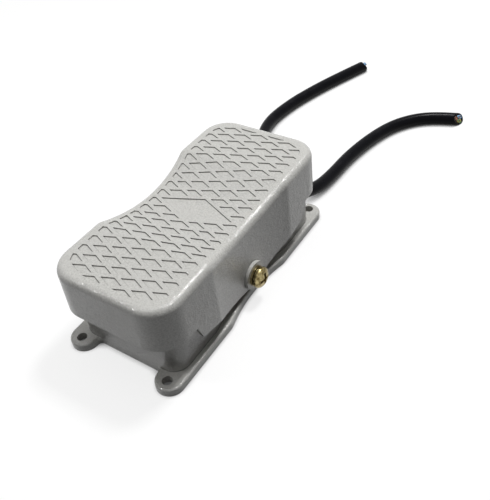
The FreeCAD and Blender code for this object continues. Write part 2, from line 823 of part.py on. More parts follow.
def switch_plunger():
    """The round-topped plunger under the lever."""
    y = switch_inner_y + plunger_offset
    rise = math.radians(lever_rise)
    under = hinge_z + (y - hinge_y) * math.tan(rise) - lever_thickness / 2 / math.cos(rise)
    crown_z = under - (plunger_radius + plunger_gap) / math.cos(rise)
    shaft = rod(plunger_radius, V(0, y, switch_top_z - plunger_depth), V(0, y, crown_z))
    return fused([shaft, Part.makeSphere(plunger_radius, V(0, y, crown_z))])


def switch_lever():
    """The flat lever that the adjusting screw presses, rolled round its pin at one end."""
    barrel = rod(lever_barrel_radius, V(-lever_width / 2, hinge_y, hinge_z), V(lever_width / 2, hinge_y, hinge_z))
    arm = box(V(-lever_width / 2, hinge_y, hinge_z - lever_thickness / 2),
              V(lever_width / 2, hinge_y + lever_length, hinge_z + lever_thickness / 2))
    arm.rotate(V(0, hinge_y, hinge_z), V(1, 0, 0), lever_rise)
    bore = rod(hinge_pin_radius + running_clearance, V(-lever_width, hinge_y, hinge_z),
               V(lever_width, hinge_y, hinge_z))
    return fused([barrel, arm]).cut(bore)


def lever_pin():
    """The pin that the lever turns on."""
    reach = lever_width / 2 + hinge_ear_gap + hinge_ear_thickness
    return rod(hinge_pin_radius, V(-reach, hinge_y, hinge_z), V(reach, hinge_y, hinge_z))


def terminal_places():
    """Y of a switch's three terminals, the one nearest the middle first."""
    return [switch_inner_y + terminal_first_offset + k * terminal_pitch for k in range(3)]


def terminal_tab(y):
    """One flat terminal under a switch."""
    return box(V(-terminal_width / 2, y - terminal_thickness / 2, switch_base_z - terminal_length),
               V(terminal_width / 2, y + terminal_thickness / 2, switch_base_z))


def switch_terminals():
    """The three flat terminals under a switch."""
    return Part.makeCompound([terminal_tab(y) for y in terminal_places()])


def switch_fixings():
    """Two screws through bracket and switch, each with its nut."""
    head_x = -switch_width / 2 - bracket_thickness
    pieces = []
    for y in switch_hole_places():
        axis = V(0, y, switch_hole_z)
        shank = rod(small_screw_radius, axis.add(V(head_x, 0, 0)),
                    axis.add(V(switch_width / 2 + small_nut_thickness + 0.5, 0, 0)))
        head = rod(small_head_radius, axis.add(V(head_x - small_head_height, 0, 0)),
                   axis.add(V(head_x, 0, 0)))
        nut = turned_to_x(hexagon(small_nut_across, small_nut_thickness, V(0, 0, 0)), 1)
        nut = moved(nut, switch_width / 2, y, switch_hole_z)
        pieces.append(fused([shank, head, nut]))
    return Part.makeCompound(pieces)


def floor_screw(x, y, seat_z, tip_z):
    """A cheese-head screw that stands in the base, with a slotted head on seat_z."""
    shank = rod(small_screw_radius, V(x, y, tip_z), V(x, y, seat_z))
    head = rod(small_head_radius, V(x, y, seat_z), V(x, y, seat_z + small_head_height))
    slot = box(V(x - small_head_radius, y - 0.4, seat_z + small_head_height / 2),
               V(x + small_head_radius, y + 0.4, seat_z + small_head_height + 1))
    return fused([shank, head]).cut(slot)


def bracket_screws():
    """The two screws that hold the bracket on the floor."""
    seat = floor_thickness + bracket_thickness
    return Part.makeCompound([floor_screw(bracket_screw_x(), end * bracket_screw_y, seat, foot_relief)
                              for end in (1, -1)])


def striker_screw():
    """The round-tipped adjusting screw in the pedal over the back switch's lever."""
    tip = striker_centre_z()
    shank = rod(striker_radius, V(0, striker_y, tip), V(0, striker_y, striker_top_z()))
    return fused([Part.makeSphere(striker_radius, V(0, striker_y, tip)), shank])


def striker_nut():
    """The lock nut of the adjusting screw, against its boss."""
    seat = pedal_top_z - pedal_top_thickness - striker_boss_drop
    nut = hexagon(striker_nut_across, striker_nut_thickness, V(0, striker_y, seat - striker_nut_thickness))
    return nut.cut(rod(striker_radius, V(0, striker_y, 0), V(0, striker_y, pedal_top_z)))


def buffer():
    """The rubber buffer that stops the back end of the pedal."""
    seat = buffer_seat_z()
    body = Part.makeCylinder(buffer_radius, buffer_height, V(0, buffer_y, seat))
    crown = [e for e in body.Edges if abs(e.CenterOfMass.z - seat - buffer_height) < 0.01]
    stem = rod(buffer_stem_radius, V(0, buffer_y, seat - buffer_stem_length), V(0, buffer_y, seat))
    return fused([body.makeFillet(buffer_crown, crown), stem])


def cable_grommet(side):
    """The rubber grommet in the end wall, gripped on both faces of the wall."""
    x = side * cable_x
    outer_face = base_half_length
    inner_face = base_half_length - base_wall
    rings = [
        (grommet_flange_radius, outer_face, outer_face + grommet_flange_thickness),
        (grommet_hole_radius, inner_face, outer_face),
        (grommet_inner_radius, inner_face - grommet_flange_thickness, inner_face),
    ]
    return fused([tube(r, cable_radius, V(x, near, cable_z), V(x, far, cable_z)) for r, near, far in rings])


def cable_saddle(side):
    """The strap that clamps a cable on its seat."""
    x = side * cable_x
    seat = cable_z - cable_radius
    half = saddle_length / 2
    reach = saddle_screw_offset + small_head_radius
    hump = rod(cable_radius + saddle_strap, V(x, saddle_y - half, cable_z), V(x, saddle_y + half, cable_z))
    legs = box(V(x - cable_radius - saddle_strap, saddle_y - half, seat),
               V(x + cable_radius + saddle_strap, saddle_y + half, cable_z))
    ears = box(V(x - reach, saddle_y - half, seat), V(x + reach, saddle_y + half, seat + saddle_strap))
    low = box(V(x - reach, saddle_y - half - 1, 0), V(x + reach, saddle_y + half + 1, seat))
    gap = [rod(cable_radius, V(x, saddle_y - half - 1, cable_z), V(x, saddle_y + half + 1, cable_z)),
           box(V(x - cable_radius, saddle_y - half - 1, seat), V(x + cable_radius, saddle_y + half + 1, cable_z))]
    holes = [rod(small_screw_radius + small_fit, V(x + s * saddle_screw_offset, saddle_y, 0),
                 V(x + s * saddle_screw_offset, saddle_y, base_height)) for s in (1, -1)]
    return fused([hump, legs, ears]).cut(Part.makeCompound([low] + gap)).cut(Part.makeCompound(holes))


def saddle_screws(side):
    """The two screws of a cable saddle."""
    seat = cable_z - cable_radius + saddle_strap
    return Part.makeCompound([floor_screw(side * cable_x + s * saddle_screw_offset, saddle_y, seat,
                                          floor_thickness) for s in (1, -1)])


def cable_tail(side):
    """The sheathed end of a cable inside the base, out to the grommet's outer face."""
    return rod(cable_radius, V(side * cable_x, tail_end_y, cable_z),
               V(side * cable_x, base_half_length + grommet_flange_thickness, cable_z))


def core_offsets():
    """Where the three cores lie in the cable: brown, blue and earth, as pairs across the cable."""
    turns = [math.radians(90 + 120 * k) for k in range(3)]
    return [(core_ring * math.cos(t), core_ring * math.sin(t)) for t in turns]


def switch_wire(side, end, core, lane_x, terminal):
    """One insulated core from a cable's end to a terminal, with its push-on sleeve."""
    across, up = core_offsets()[core]
    y = end * terminal_places()[terminal]
    start = V(side * cable_x + across, tail_end_y, cable_z + up)
    lane = side * lane_x
    points = [start, V(side * cable_x + across, (tail_end_y + wire_turn_y) / 2 + 1, cable_z + up),
              V(lane, wire_turn_y - 3, wire_z), V(lane, y + 3.5, wire_z), V(side * sleeve_width, y, wire_z),
              V(side * sleeve_width / 2, y, wire_z)]
    wire = swept(points, core_radius, bend_share, "core")
    low = switch_base_z - terminal_length
    sleeve = box(V(-sleeve_width / 2, y - sleeve_depth / 2, low),
                 V(sleeve_width / 2, y + sleeve_depth / 2, low + sleeve_height))
    sleeve = sleeve.cut(terminal_tab(y))
    return fused([wire, sleeve])


def earth_wire(side):
    """The earth core of a cable, with the ring tongue at its end."""
    across, up = core_offsets()[2]
    boss_z = floor_thickness + earth_boss_height
    level = boss_z if side > 0 else boss_z + ring_thickness
    centre = V(earth_x, -earth_y, level)
    toward = V(0, side, 0)
    begin = centre.add(V(toward).multiply(earth_boss_radius + 0.6)).add(V(0, 0, barrel_radius))
    finish = begin.add(V(toward).multiply(barrel_length))
    start = V(side * cable_x + across, tail_end_y, cable_z + up)
    dive = V(side * cable_x + across, (tail_end_y + wire_turn_y) / 2 + 1, cable_z + up)
    lane = V(side * earth_wire_x, wire_turn_y - 3, earth_wire_z)
    if side > 0:
        rest = [V(earth_wire_x, finish.y + 8, earth_wire_z), V(earth_x, finish.y + 3, begin.z), finish]
    else:
        cross_y = -(terminal_places()[1] + terminal_places()[2]) / 2
        rest = [V(-earth_wire_x, cross_y + 6, earth_wire_z), V(-earth_wire_x + 4, cross_y, earth_wire_z),
                V(earth_x - 5, cross_y, earth_wire_z), V(earth_x, cross_y + 1.5, begin.z), finish]
    wire = swept([start, dive, lane] + rest, core_radius, bend_share, "earth core")
    ring = Part.makeCylinder(ring_radius, ring_thickness, centre)
    ring = ring.cut(Part.makeCylinder(small_screw_radius + small_fit, 10, centre.sub(V(0, 0, 5))))
    across_way = V(-toward.y, toward.x, 0).multiply(barrel_radius)
    tip = centre.add(V(toward).multiply(earth_boss_radius + 0.6 + barrel_length))
    inner = centre.add(V(toward).multiply(ring_radius - 1.0))
    corners = [inner.add(across_way), inner.sub(across_way), tip.sub(across_way), tip.add(across_way)]
    tongue = Part.Face(Part.makePolygon(corners + corners[:1])).extrude(V(0, 0, ring_thickness))
    barrel = rod(barrel_radius, begin, finish)
    return fused([wire, ring, tongue, barrel])


def earth_screw():
    """The screw that holds both ring tongues on the earth boss."""
    seat = floor_thickness + earth_boss_height + 2 * ring_thickness
    return floor_screw(earth_x, -earth_y, seat, foot_relief + 0.5)


def core_end(route, core):
    """A core's cut end that stands out of the free end of a cable."""
    along = route[-1].sub(route[-2]).normalize()
    sideways = V(-along.y, along.x, 0)
    across, up = core_offsets()[core]
    centre = route[-1].add(V(sideways).multiply(across)).add(V(0, 0, up))
    return rod(core_radius, centre, centre.add(V(along).multiply(core_show)))


def build():
    """Every piece by name."""
    parts = {"base_housing": make_base(), "rocker_pedal": make_pedal(), "switch_bracket": switch_bracket(),
             "bracket_screws": bracket_screws(), "earth_screw": earth_screw()}
    routes = {"right": right_route, "left": left_route}
    for label, side in (("right", 1), ("left", -1)):
        parts["pivot_screw_" + label] = pivot_screw(side)
        parts["pivot_washer_" + label] = pivot_washer(side)
        parts["pivot_bush_" + label] = pivot_bush(side)
        parts["cable_grommet_" + label] = cable_grommet(side)
        parts["cable_saddle_" + label] = cable_saddle(side)
        parts["saddle_screws_" + label] = saddle_screws(side)
        parts["cable_tail_" + label] = cable_tail(side)
        far_lane, near_lane = (wire_outer_x, wire_inner_x) if side > 0 else (wire_inner_x, wire_outer_x)
        parts["wire_brown_" + label] = switch_wire(side, side, 0, far_lane, 0)
        parts["wire_blue_" + label] = switch_wire(side, side, 1, near_lane, 1)
        parts["wire_earth_" + label] = earth_wire(side)
        parts["cable_" + label] = swept(routes[label], cable_radius, bend_share, "cable_" + label)
        for core, colour in enumerate(("brown", "blue", "earth")):
            parts["core_" + colour + "_" + label] = core_end(routes[label], core)
    for label, end in (("back", 1), ("front", -1)):
        for side_label, side in (("right", 1), ("left", -1)):
            parts["return_spring_" + label + "_" + side_label] = return_spring(side, end)
        made = {"switch_case_": switch_case(), "switch_cover_": switch_cover(), "switch_plunger_": switch_plunger(),
                "switch_lever_": switch_lever(), "lever_pin_": lever_pin(), "switch_terminals_": switch_terminals(),
                "switch_screws_": switch_fixings(), "striker_screw_": striker_screw(),
                "striker_nut_": striker_nut(), "buffer_": buffer()}
        for name, shape in made.items():
            parts[name + label] = shape if end > 0 else mirrored_y(shape)
    return parts


os.makedirs(OUT, exist_ok=True)
for node, solid in build().items():
    solid.exportStep(os.path.join(OUT, node + ".step"))
    print(node, "volume", round(solid.Volume, 1), "solids", len(solid.Solids), "valid", solid.isValid())
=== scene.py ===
import logging
import math
from dataclasses import dataclass, field
from enum import Enum
from functools import cache

import bmesh
import bpy
from mathutils import Matrix, Vector

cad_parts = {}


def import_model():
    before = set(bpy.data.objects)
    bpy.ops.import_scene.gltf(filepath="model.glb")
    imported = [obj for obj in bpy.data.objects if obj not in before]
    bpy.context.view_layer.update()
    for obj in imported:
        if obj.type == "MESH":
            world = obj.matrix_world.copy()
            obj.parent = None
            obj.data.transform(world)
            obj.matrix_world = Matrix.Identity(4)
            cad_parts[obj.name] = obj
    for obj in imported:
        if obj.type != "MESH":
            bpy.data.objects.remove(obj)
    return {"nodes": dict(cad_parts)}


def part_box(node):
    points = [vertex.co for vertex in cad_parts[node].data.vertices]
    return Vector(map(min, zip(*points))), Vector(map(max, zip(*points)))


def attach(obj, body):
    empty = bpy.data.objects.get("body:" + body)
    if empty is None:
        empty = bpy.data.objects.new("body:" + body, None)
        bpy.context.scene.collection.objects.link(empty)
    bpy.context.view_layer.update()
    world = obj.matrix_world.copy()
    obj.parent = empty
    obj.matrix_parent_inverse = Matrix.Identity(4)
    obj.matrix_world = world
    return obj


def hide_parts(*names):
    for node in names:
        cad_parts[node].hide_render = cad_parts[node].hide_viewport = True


log = logging.getLogger("foot_switch")

Colour = tuple[float, float, float, float]
Point = tuple[float, float, float]
Span = tuple[float, float]
Socket = bpy.types.NodeSocket

MM = 0.001
PHOTO_WIDTH = 490
PHOTO_HEIGHT = 500
# Points nearer to each other than this are one point.
MERGE_MM = 0.01
# Nearly all of a noise's values lie in this band.
NOISE_BAND = (0.3, 0.7)
# The Mix node's colour sockets, which share their names with its number and vector sockets.
MIX_FIRST, MIX_SECOND, MIX_RESULT = 6, 7, 2


class Labelled(Enum):
    """An option whose name the nodes write in small letters."""

    @property
    def label(self) -> str:
        """The option's name as the nodes write it."""
        return self.name.lower()


class Side(Labelled):
    """Which side of the switch a piece lies on, with its sign along X."""

    RIGHT = 1
    LEFT = -1


class Core(Labelled):
    """A cable's insulated cores, each with its turn round the cable's middle in degrees."""

    BROWN = 0
    BLUE = 120
    EARTH = 240


def rgb(red: float, green: float, blue: float) -> Colour:
    """A colour with full alpha."""
    return (red, green, blue, 1.0)


class NodeBoard:
    """A material's node tree with short calls for the nodes that the finishes use."""

    def __init__(self, name: str) -> None:
        """Makes the material, with its shader and the coordinates of its textures.

        Args:
            name: The material's name.
        """
        self.material = bpy.data.materials.new(name)
        self.material.use_nodes = True
        self.tree = self.material.node_tree
        self.shader = self.tree.nodes["Principled BSDF"]
        self.place = self.tree.nodes.new("ShaderNodeTexCoord").outputs["Object"]

    def link(self, source: Socket, target: Socket) -> None:
        """Joins two sockets."""
        self.tree.links.new(source, target)

    def drive(self, socket: str, source: Socket) -> None:
        """Feeds one of the shader's sockets."""
        self.link(source, self.shader.inputs[socket])

    def constant(self, socket: str, value: float | Colour) -> None:
        """Sets a value on the shader's own socket."""
        self.shader.inputs[socket].default_value = value

    def noise(self, size_mm: float, detail: float = 3.0, rough: float = 0.5) -> Socket:
        """Noise with grains of about the given size.

        Args:
            size_mm: Distance between grains in millimetres.
            detail: Octaves of the noise.
            rough: Share that each finer octave keeps.

        Returns:
            The noise's value socket.
        """
        node = self.tree.nodes.new("ShaderNodeTexNoise")
        node.inputs["Scale"].default_value = 1.0 / (size_mm * MM)
        node.inputs["Detail"].default_value = detail
        node.inputs["Roughness"].default_value = rough
        self.link(self.place, node.inputs["Vector"])
        return node.outputs["Fac"]

    def cells(self, size_mm: float) -> Socket:
        """Distance to scattered points, which reads as small beads or pits.

        Args:
            size_mm: Distance between beads in millimetres.

        Returns:
            The distance's socket.
        """
        node = self.tree.nodes.new("ShaderNodeTexVoronoi")
        node.inputs["Scale"].default_value = 1.0 / (size_mm * MM)
        self.link(self.place, node.inputs["Vector"])
        return node.outputs["Distance"]

    def corners(self, reach_mm: float, samples: int = 6) -> Socket:
        """Openness, 1 on a free surface and falling towards 0 in corners and grooves.

        Args:
            reach_mm: Width of the widest groove that counts.
            samples: Rays that feel for walls at each point.

        Returns:
            The openness's socket.
        """
        node = self.tree.nodes.new("ShaderNodeAmbientOcclusion")
        node.inputs["Distance"].default_value = reach_mm * MM
        node.samples = samples
        return node.outputs["AO"]

    def spread(self, source: Socket, given: Span, wanted: Span) -> Socket:
        """Maps a value from one span to another, held at both ends.

        Args:
            source: The value.
            given: The span that is mapped.
            wanted: The span that it becomes.

        Returns:
            The mapped value's socket.
        """
        node = self.tree.nodes.new("ShaderNodeMapRange")
        sockets = ("From Min", "From Max", "To Min", "To Max")
        for socket, value in zip(sockets, (*given, *wanted)):
            node.inputs[socket].default_value = value
        self.link(source, node.inputs["Value"])
        return node.outputs["Result"]

    def two_tone(self, source: Socket, stops: Span, first: Colour, second: Colour) -> Socket:
        """Runs from one colour to another as a value rises.

        Args:
            source: The value.
            stops: The values at which the run starts and ends.
            first: The colour at its start.
            second: The colour at its end.

        Returns:
            The colour's socket.
        """
        node = self.tree.nodes.new("ShaderNodeValToRGB")
        for element, stop, colour in zip(node.color_ramp.elements, stops, (first, second)):
            element.position = stop
            element.color = colour
        self.link(source, node.inputs["Fac"])
        return node.outputs["Color"]

    def blend(self, share: Socket, first: Socket | Colour, second: Socket | Colour) -> Socket:
        """Mixes two colours by a share.

        Args:
            share: 0 gives the first colour and 1 the second.
            first: A colour or a colour socket.
            second: A colour or a colour socket.

        Returns:
            The mixed colour's socket.
        """
        node = self.tree.nodes.new("ShaderNodeMix")
        node.data_type = "RGBA"
        self.link(share, node.inputs["Factor"])
        for place, value in ((MIX_FIRST, first), (MIX_SECOND, second)):
            if isinstance(value, tuple):
                node.inputs[place].default_value = value
            else:
                self.link(value, node.inputs[place])
        return node.outputs[MIX_RESULT]

    def gloss(self, source: Socket, roughness: float, swing: Span) -> None:
        """Lets the roughness follow a noise.

        Args:
            source: The noise.
            roughness: Mean roughness.
            swing: Change of the roughness where the noise is low and where it is high.
        """
        span = (roughness + swing[0], roughness + swing[1])
        self.drive("Roughness", self.spread(source, NOISE_BAND, span))

    def relief(self, layers: list[tuple[Socket, float]]) -> None:
        """Adds bumps to the surface.

        Args:
            layers: Height sockets, each with its depth in millimetres.
        """
        normal = None
        for height, depth_mm in layers:
            node = self.tree.nodes.new("ShaderNodeBump")
            node.inputs["Distance"].default_value = depth_mm * MM
            node.inputs["Strength"].default_value = 1.0
            self.link(height, node.inputs["Height"])
            if normal is not None:
                self.link(normal, node.inputs["Normal"])
            normal = node.outputs["Normal"]
        self.drive("Normal", normal)


@dataclass(frozen=True)
class SandPaint:
    """Baked paint with a fine sandy grain, over cast aluminium.

    Args:
        name: The material's name.
        base: Main colour.
        hollow: Colour between the grains.
        worn: Colour of the duller clouds.
        painted_groove_shade: Painted shade: the colour that the paint takes deep in its grooves.
        tint_stops: Noise values of the hollow and of the main colour.
        grain_mm: Distance between the coarse grains.
        relief_mm: Depth of the coarse grain.
        bead_size: Distance between the fine beads, as a share of the grain's.
        bead_relief: Depth of the fine beads, as a share of the grain's.
        swell_mm: Distance between the soft waves in the paint.
        swell_relief: Depth of the soft waves, as a share of the grain's.
        cloud_mm: Distance between the duller clouds.
        cloud_band: Noise values at which a cloud starts and is full.
        cloud_share: Strength of a full cloud.
        groove_mm: Width of the grooves that take the painted shade.
        groove_band: Openness at which a groove's painted shade is full and at which it ends.
        roughness: Mean roughness.
        gloss_swing: Change of the roughness in the hollows and on the grains.
        specular: Strength of the reflection.
    """

    name: str
    base: Colour
    hollow: Colour
    worn: Colour
    painted_groove_shade: Colour
    tint_stops: Span = (0.34, 0.58)
    grain_mm: float = 0.9
    relief_mm: float = 0.16
    bead_size: float = 0.42
    bead_relief: float = 0.3
    swell_mm: float = 3.2
    swell_relief: float = 1.5
    cloud_mm: float = 24.0
    cloud_band: Span = (0.35, 0.7)
    cloud_share: float = 0.6
    groove_mm: float = 0.8
    groove_band: Span = (0.45, 0.85)
    roughness: float = 0.14
    gloss_swing: Span = (0.1, -0.06)
    specular: float = 0.6

    def build(self) -> bpy.types.Material:
        """Builds the paint.

        Returns:
            The material.
        """
        board = NodeBoard(self.name)
        grain = board.noise(self.grain_mm, rough=0.6)
        beads = board.cells(self.bead_size * self.grain_mm)
        swell = board.noise(self.swell_mm, detail=2.0)
        cloud = board.noise(self.cloud_mm, detail=2.0)
        tint = board.two_tone(grain, self.tint_stops, self.hollow, self.base)
        dulled = board.spread(cloud, self.cloud_band, (0.0, self.cloud_share))
        # Painted shade: the paint turns to its shade colour in grooves and corners, by how closed
        # in they are.
        unshaded = board.spread(board.corners(self.groove_mm), self.groove_band, (0.0, 1.0))
        coat = board.blend(dulled, tint, self.worn)
        board.drive("Base Color", board.blend(unshaded, self.painted_groove_shade, coat))
        board.gloss(grain, self.roughness, self.gloss_swing)
        board.constant("Specular IOR Level", self.specular)
        board.relief([(swell, self.swell_relief * self.relief_mm), (grain, self.relief_mm),
                      (beads, self.bead_relief * self.relief_mm)])
        return board.material


@dataclass(frozen=True)
class PlatedMetal:
    """Bare or plated metal with fine turning marks and faint stains.

    Args:
        name: The material's name.
        base: Main colour.
        stain: Colour of the duller patches.
        roughness: Roughness of the clean metal.
        scratch_mm: Distance between the fine marks.
        scratch_depth_mm: Depth of the fine marks.
        patch_mm: Distance between the duller patches.
        patch_stops: Noise values of the stain and of the main colour.
        gloss_swing: Change of the roughness in the patches and on the clean metal.
    """

    name: str
    base: Colour
    stain: Colour
    roughness: float
    scratch_mm: float = 0.3
    scratch_depth_mm: float = 0.004
    patch_mm: float = 1.8
    patch_stops: Span = (0.38, 0.6)
    gloss_swing: Span = (0.14, 0.0)

    def build(self) -> bpy.types.Material:
        """Builds the metal.

        Returns:
            The material.
        """
        board = NodeBoard(self.name)
        patches = board.noise(self.patch_mm, detail=4.0, rough=0.6)
        marks = board.noise(self.scratch_mm, detail=2.0)
        board.drive("Base Color", board.two_tone(patches, self.patch_stops, self.stain, self.base))
        board.gloss(patches, self.roughness, self.gloss_swing)
        board.constant("Metallic", 1.0)
        board.relief([(marks, self.scratch_depth_mm)])
        return board.material


@dataclass(frozen=True)
class MouldedPolymer:
    """Plastic or rubber with a faint mould grain.

    Args:
        name: The material's name.
        base: Main colour.
        rubbed: Colour where the surface is rubbed.
        roughness: Mean roughness.
        grain_mm: Distance between grains.
        relief_mm: Depth of the grain.
        specular: Strength of the reflection.
        rub_mm: Distance between the rubbed places.
        rub_stops: Noise values of the main colour and of the rubbed one.
        gloss_swing: Change of the roughness on the sound surface and where it is rubbed.
    """

    name: str
    base: Colour
    rubbed: Colour
    roughness: float
    grain_mm: float = 0.5
    relief_mm: float = 0.01
    specular: float = 0.5
    rub_mm: float = 6.0
    rub_stops: Span = (0.42, 0.75)
    gloss_swing: Span = (-0.06, 0.08)

    def build(self) -> bpy.types.Material:
        """Builds the polymer.

        Returns:
            The material.
        """
        board = NodeBoard(self.name)
        grain = board.noise(self.grain_mm, rough=0.55)
        rub = board.noise(self.rub_mm, rough=0.6)
        board.drive("Base Color", board.two_tone(rub, self.rub_stops, self.base, self.rubbed))
        board.gloss(rub, self.roughness, self.gloss_swing)
        board.constant("Specular IOR Level", self.specular)
        board.relief([(grain, self.relief_mm)])
        return board.material


@dataclass(frozen=True)
class StripedSleeve:
    """Insulation in two colours that take turns as slanting bands.

    Args:
        name: The material's name.
        ground: The insulation's colour.
        stripe: The bands' colour.
        band_mm: Distance between bands.
        band_factor: Factor from that distance to the wave pattern's own size.
        band_stops: Wave values at which the ground ends and the stripe starts.
        wobble: How unevenly the bands run.
        roughness: Roughness of the smoothest places.
        gloss_swing: Change of the roughness from the smoothest to the dullest places.
        gloss_mm: Distance between the duller places.
        grain_mm: Distance between grains.
        relief_mm: Depth of the grain.
    """

    name: str
    ground: Colour
    stripe: Colour
    band_mm: float = 2.4
    band_factor: float = 3.0
    band_stops: Span = (0.47, 0.53)
    wobble: float = 0.3
    roughness: float = 0.3
    gloss_swing: Span = (0.0, 0.12)
    gloss_mm: float = 1.2
    grain_mm: float = 0.4
    relief_mm: float = 0.006

    def build(self) -> bpy.types.Material:
        """Builds the striped insulation.

        Returns:
            The material.
        """
        board = NodeBoard(self.name)
        bands = board.tree.nodes.new("ShaderNodeTexWave")
        bands.wave_type = "BANDS"
        bands.bands_direction = "DIAGONAL"
        bands.inputs["Scale"].default_value = 1.0 / (self.band_mm * MM) / self.band_factor
        bands.inputs["Distortion"].default_value = self.wobble
        board.link(board.place, bands.inputs["Vector"])
        board.drive("Base Color", board.two_tone(bands.outputs["Fac"], self.band_stops,
                                                 self.ground, self.stripe))
        board.gloss(board.noise(self.gloss_mm), self.roughness, self.gloss_swing)
        board.relief([(board.noise(self.grain_mm), self.relief_mm)])
        return board.material


class Finish(Enum):
    """Every finish on the switch."""

    # The paint's darkest colour is shade painted into its grooves and corners.
    PAINT = SandPaint("grey_sand_paint", rgb(0.60, 0.595, 0.565), hollow=rgb(0.47, 0.465, 0.44),
                      worn=rgb(0.56, 0.555, 0.53), painted_groove_shade=rgb(0.13, 0.128, 0.12))
    YELLOW_ZINC = PlatedMetal("yellow_zinc_plate", rgb(0.42, 0.35, 0.18),
                              rgb(0.12, 0.09, 0.035), roughness=0.19)
    ZINC = PlatedMetal("bright_zinc_plate", rgb(0.62, 0.64, 0.67),
                       rgb(0.47, 0.48, 0.50), roughness=0.28)
    BRONZE = PlatedMetal("sintered_bronze", rgb(0.56, 0.38, 0.20),
                         rgb(0.36, 0.24, 0.13), roughness=0.38)
    BRASS = PlatedMetal("brass_sheet", rgb(0.78, 0.62, 0.30),
                        rgb(0.60, 0.44, 0.20), roughness=0.25)
    SPRING_STEEL = PlatedMetal("spring_steel", rgb(0.50, 0.50, 0.51),
                               rgb(0.34, 0.34, 0.35), roughness=0.30)
    COPPER = PlatedMetal("copper_strand", rgb(0.40, 0.18, 0.10),
                         rgb(0.20, 0.09, 0.05), roughness=0.32, scratch_mm=0.15)
    RUBBER = MouldedPolymer("black_rubber", rgb(0.010, 0.010, 0.010), rgb(0.022, 0.021, 0.020),
                            roughness=0.62, grain_mm=0.6, relief_mm=0.02, specular=0.25)
    SHEATH = MouldedPolymer("black_pvc_sheath", rgb(0.0018, 0.0018, 0.0034),
                            rgb(0.004, 0.004, 0.006), roughness=0.26, grain_mm=0.45,
                            relief_mm=0.006, specular=0.06)
    FILLER = MouldedPolymer("grey_filler", rgb(0.030, 0.020, 0.014), rgb(0.055, 0.035, 0.024),
                            roughness=0.7, grain_mm=0.3, relief_mm=0.05, specular=0.2)
    BROWN = MouldedPolymer("brown_pvc", rgb(0.17, 0.062, 0.026),
                           rgb(0.24, 0.09, 0.04), roughness=0.34)
    BLUE = MouldedPolymer("blue_pvc", rgb(0.19, 0.37, 0.60),
                          rgb(0.31, 0.49, 0.70), roughness=0.34)
    EARTH = StripedSleeve("green_yellow_pvc", rgb(0.07, 0.27, 0.09), rgb(0.80, 0.72, 0.20))
    PHENOLIC = MouldedPolymer("black_phenolic", rgb(0.02, 0.02, 0.021),
                              rgb(0.032, 0.032, 0.032), roughness=0.42)
    RED_PHENOLIC = MouldedPolymer("red_phenolic", rgb(0.27, 0.035, 0.02),
                                  rgb(0.33, 0.06, 0.035), roughness=0.40)

    @property
    def material(self) -> bpy.types.Material:
        """The finish's material, the same one each time."""
        return material_of(self)


@cache
def material_of(finish: Finish) -> bpy.types.Material:
    """Builds a finish's material the first time that it is asked for."""
    return finish.value.build()


def dress(piece: bpy.types.Object, material: bpy.types.Material) -> None:
    """Gives a piece one material.

    Args:
        piece: The object.
        material: Its material.
    """
    if not piece.material_slots:
        piece.data.materials.append(material)
    for place in piece.material_slots:
        place.material = material


def piece_of(form: bmesh.types.BMesh, name: str, material: bpy.types.Material,
             sharp: float = 30.0) -> bpy.types.Object:
    """Makes a dressed object of a finished form, shaded smooth except over its sharp edges.

    Args:
        form: The form, which is freed.
        name: The object's name.
        material: Its material.
        sharp: The turn in degrees past which an edge is sharp.

    Returns:
        The object.
    """
    bmesh.ops.recalc_face_normals(form, faces=form.faces[:])
    mesh = bpy.data.meshes.new(name)
    form.to_mesh(mesh)
    form.free()
    mesh.shade_smooth()
    mesh.set_sharp_from_angle(angle=math.radians(sharp))
    piece = bpy.data.objects.new(name, mesh)
    bpy.context.collection.objects.link(piece)
    dress(piece, material)
    return piece


def loft(form: bmesh.types.BMesh, loops: list[list[Vector]], close_first: bool = False,
         close_last: bool = False) -> None:
    """Joins closed loops of equal counts with faces.

    Args:
        form: The form that takes the faces.
        loops: The loops' points in metres, in order.
        close_first: Whether the first loop is filled.
        close_last: Whether the last loop is filled.
    """
    rows = [[form.verts.new(place) for place in loop] for loop in loops]
    for row, after in zip(rows, rows[1:]):
        count = len(row)
        for k in range(count):
            form.faces.new((row[k], row[(k + 1) % count], after[(k + 1) % count], after[k]))
    if close_first:
        form.faces.new(rows[0][::-1])
    if close_last:
        form.faces.new(rows[-1])


@dataclass
class Castings:
    """The two painted castings, the base and the pedal.

    Args:
        nodes: The frame's nodes by name.
        names: The names of the castings.
    """

    nodes: dict[str, bpy.types.Object]
    names: tuple[str, ...] = ("base_housing", "rocker_pedal")

    def build(self) -> None:
        """Paints both castings."""
        for name in self.names:
            dress(self.nodes[name], Finish.PAINT.material)
            log.info("%s painted", name)


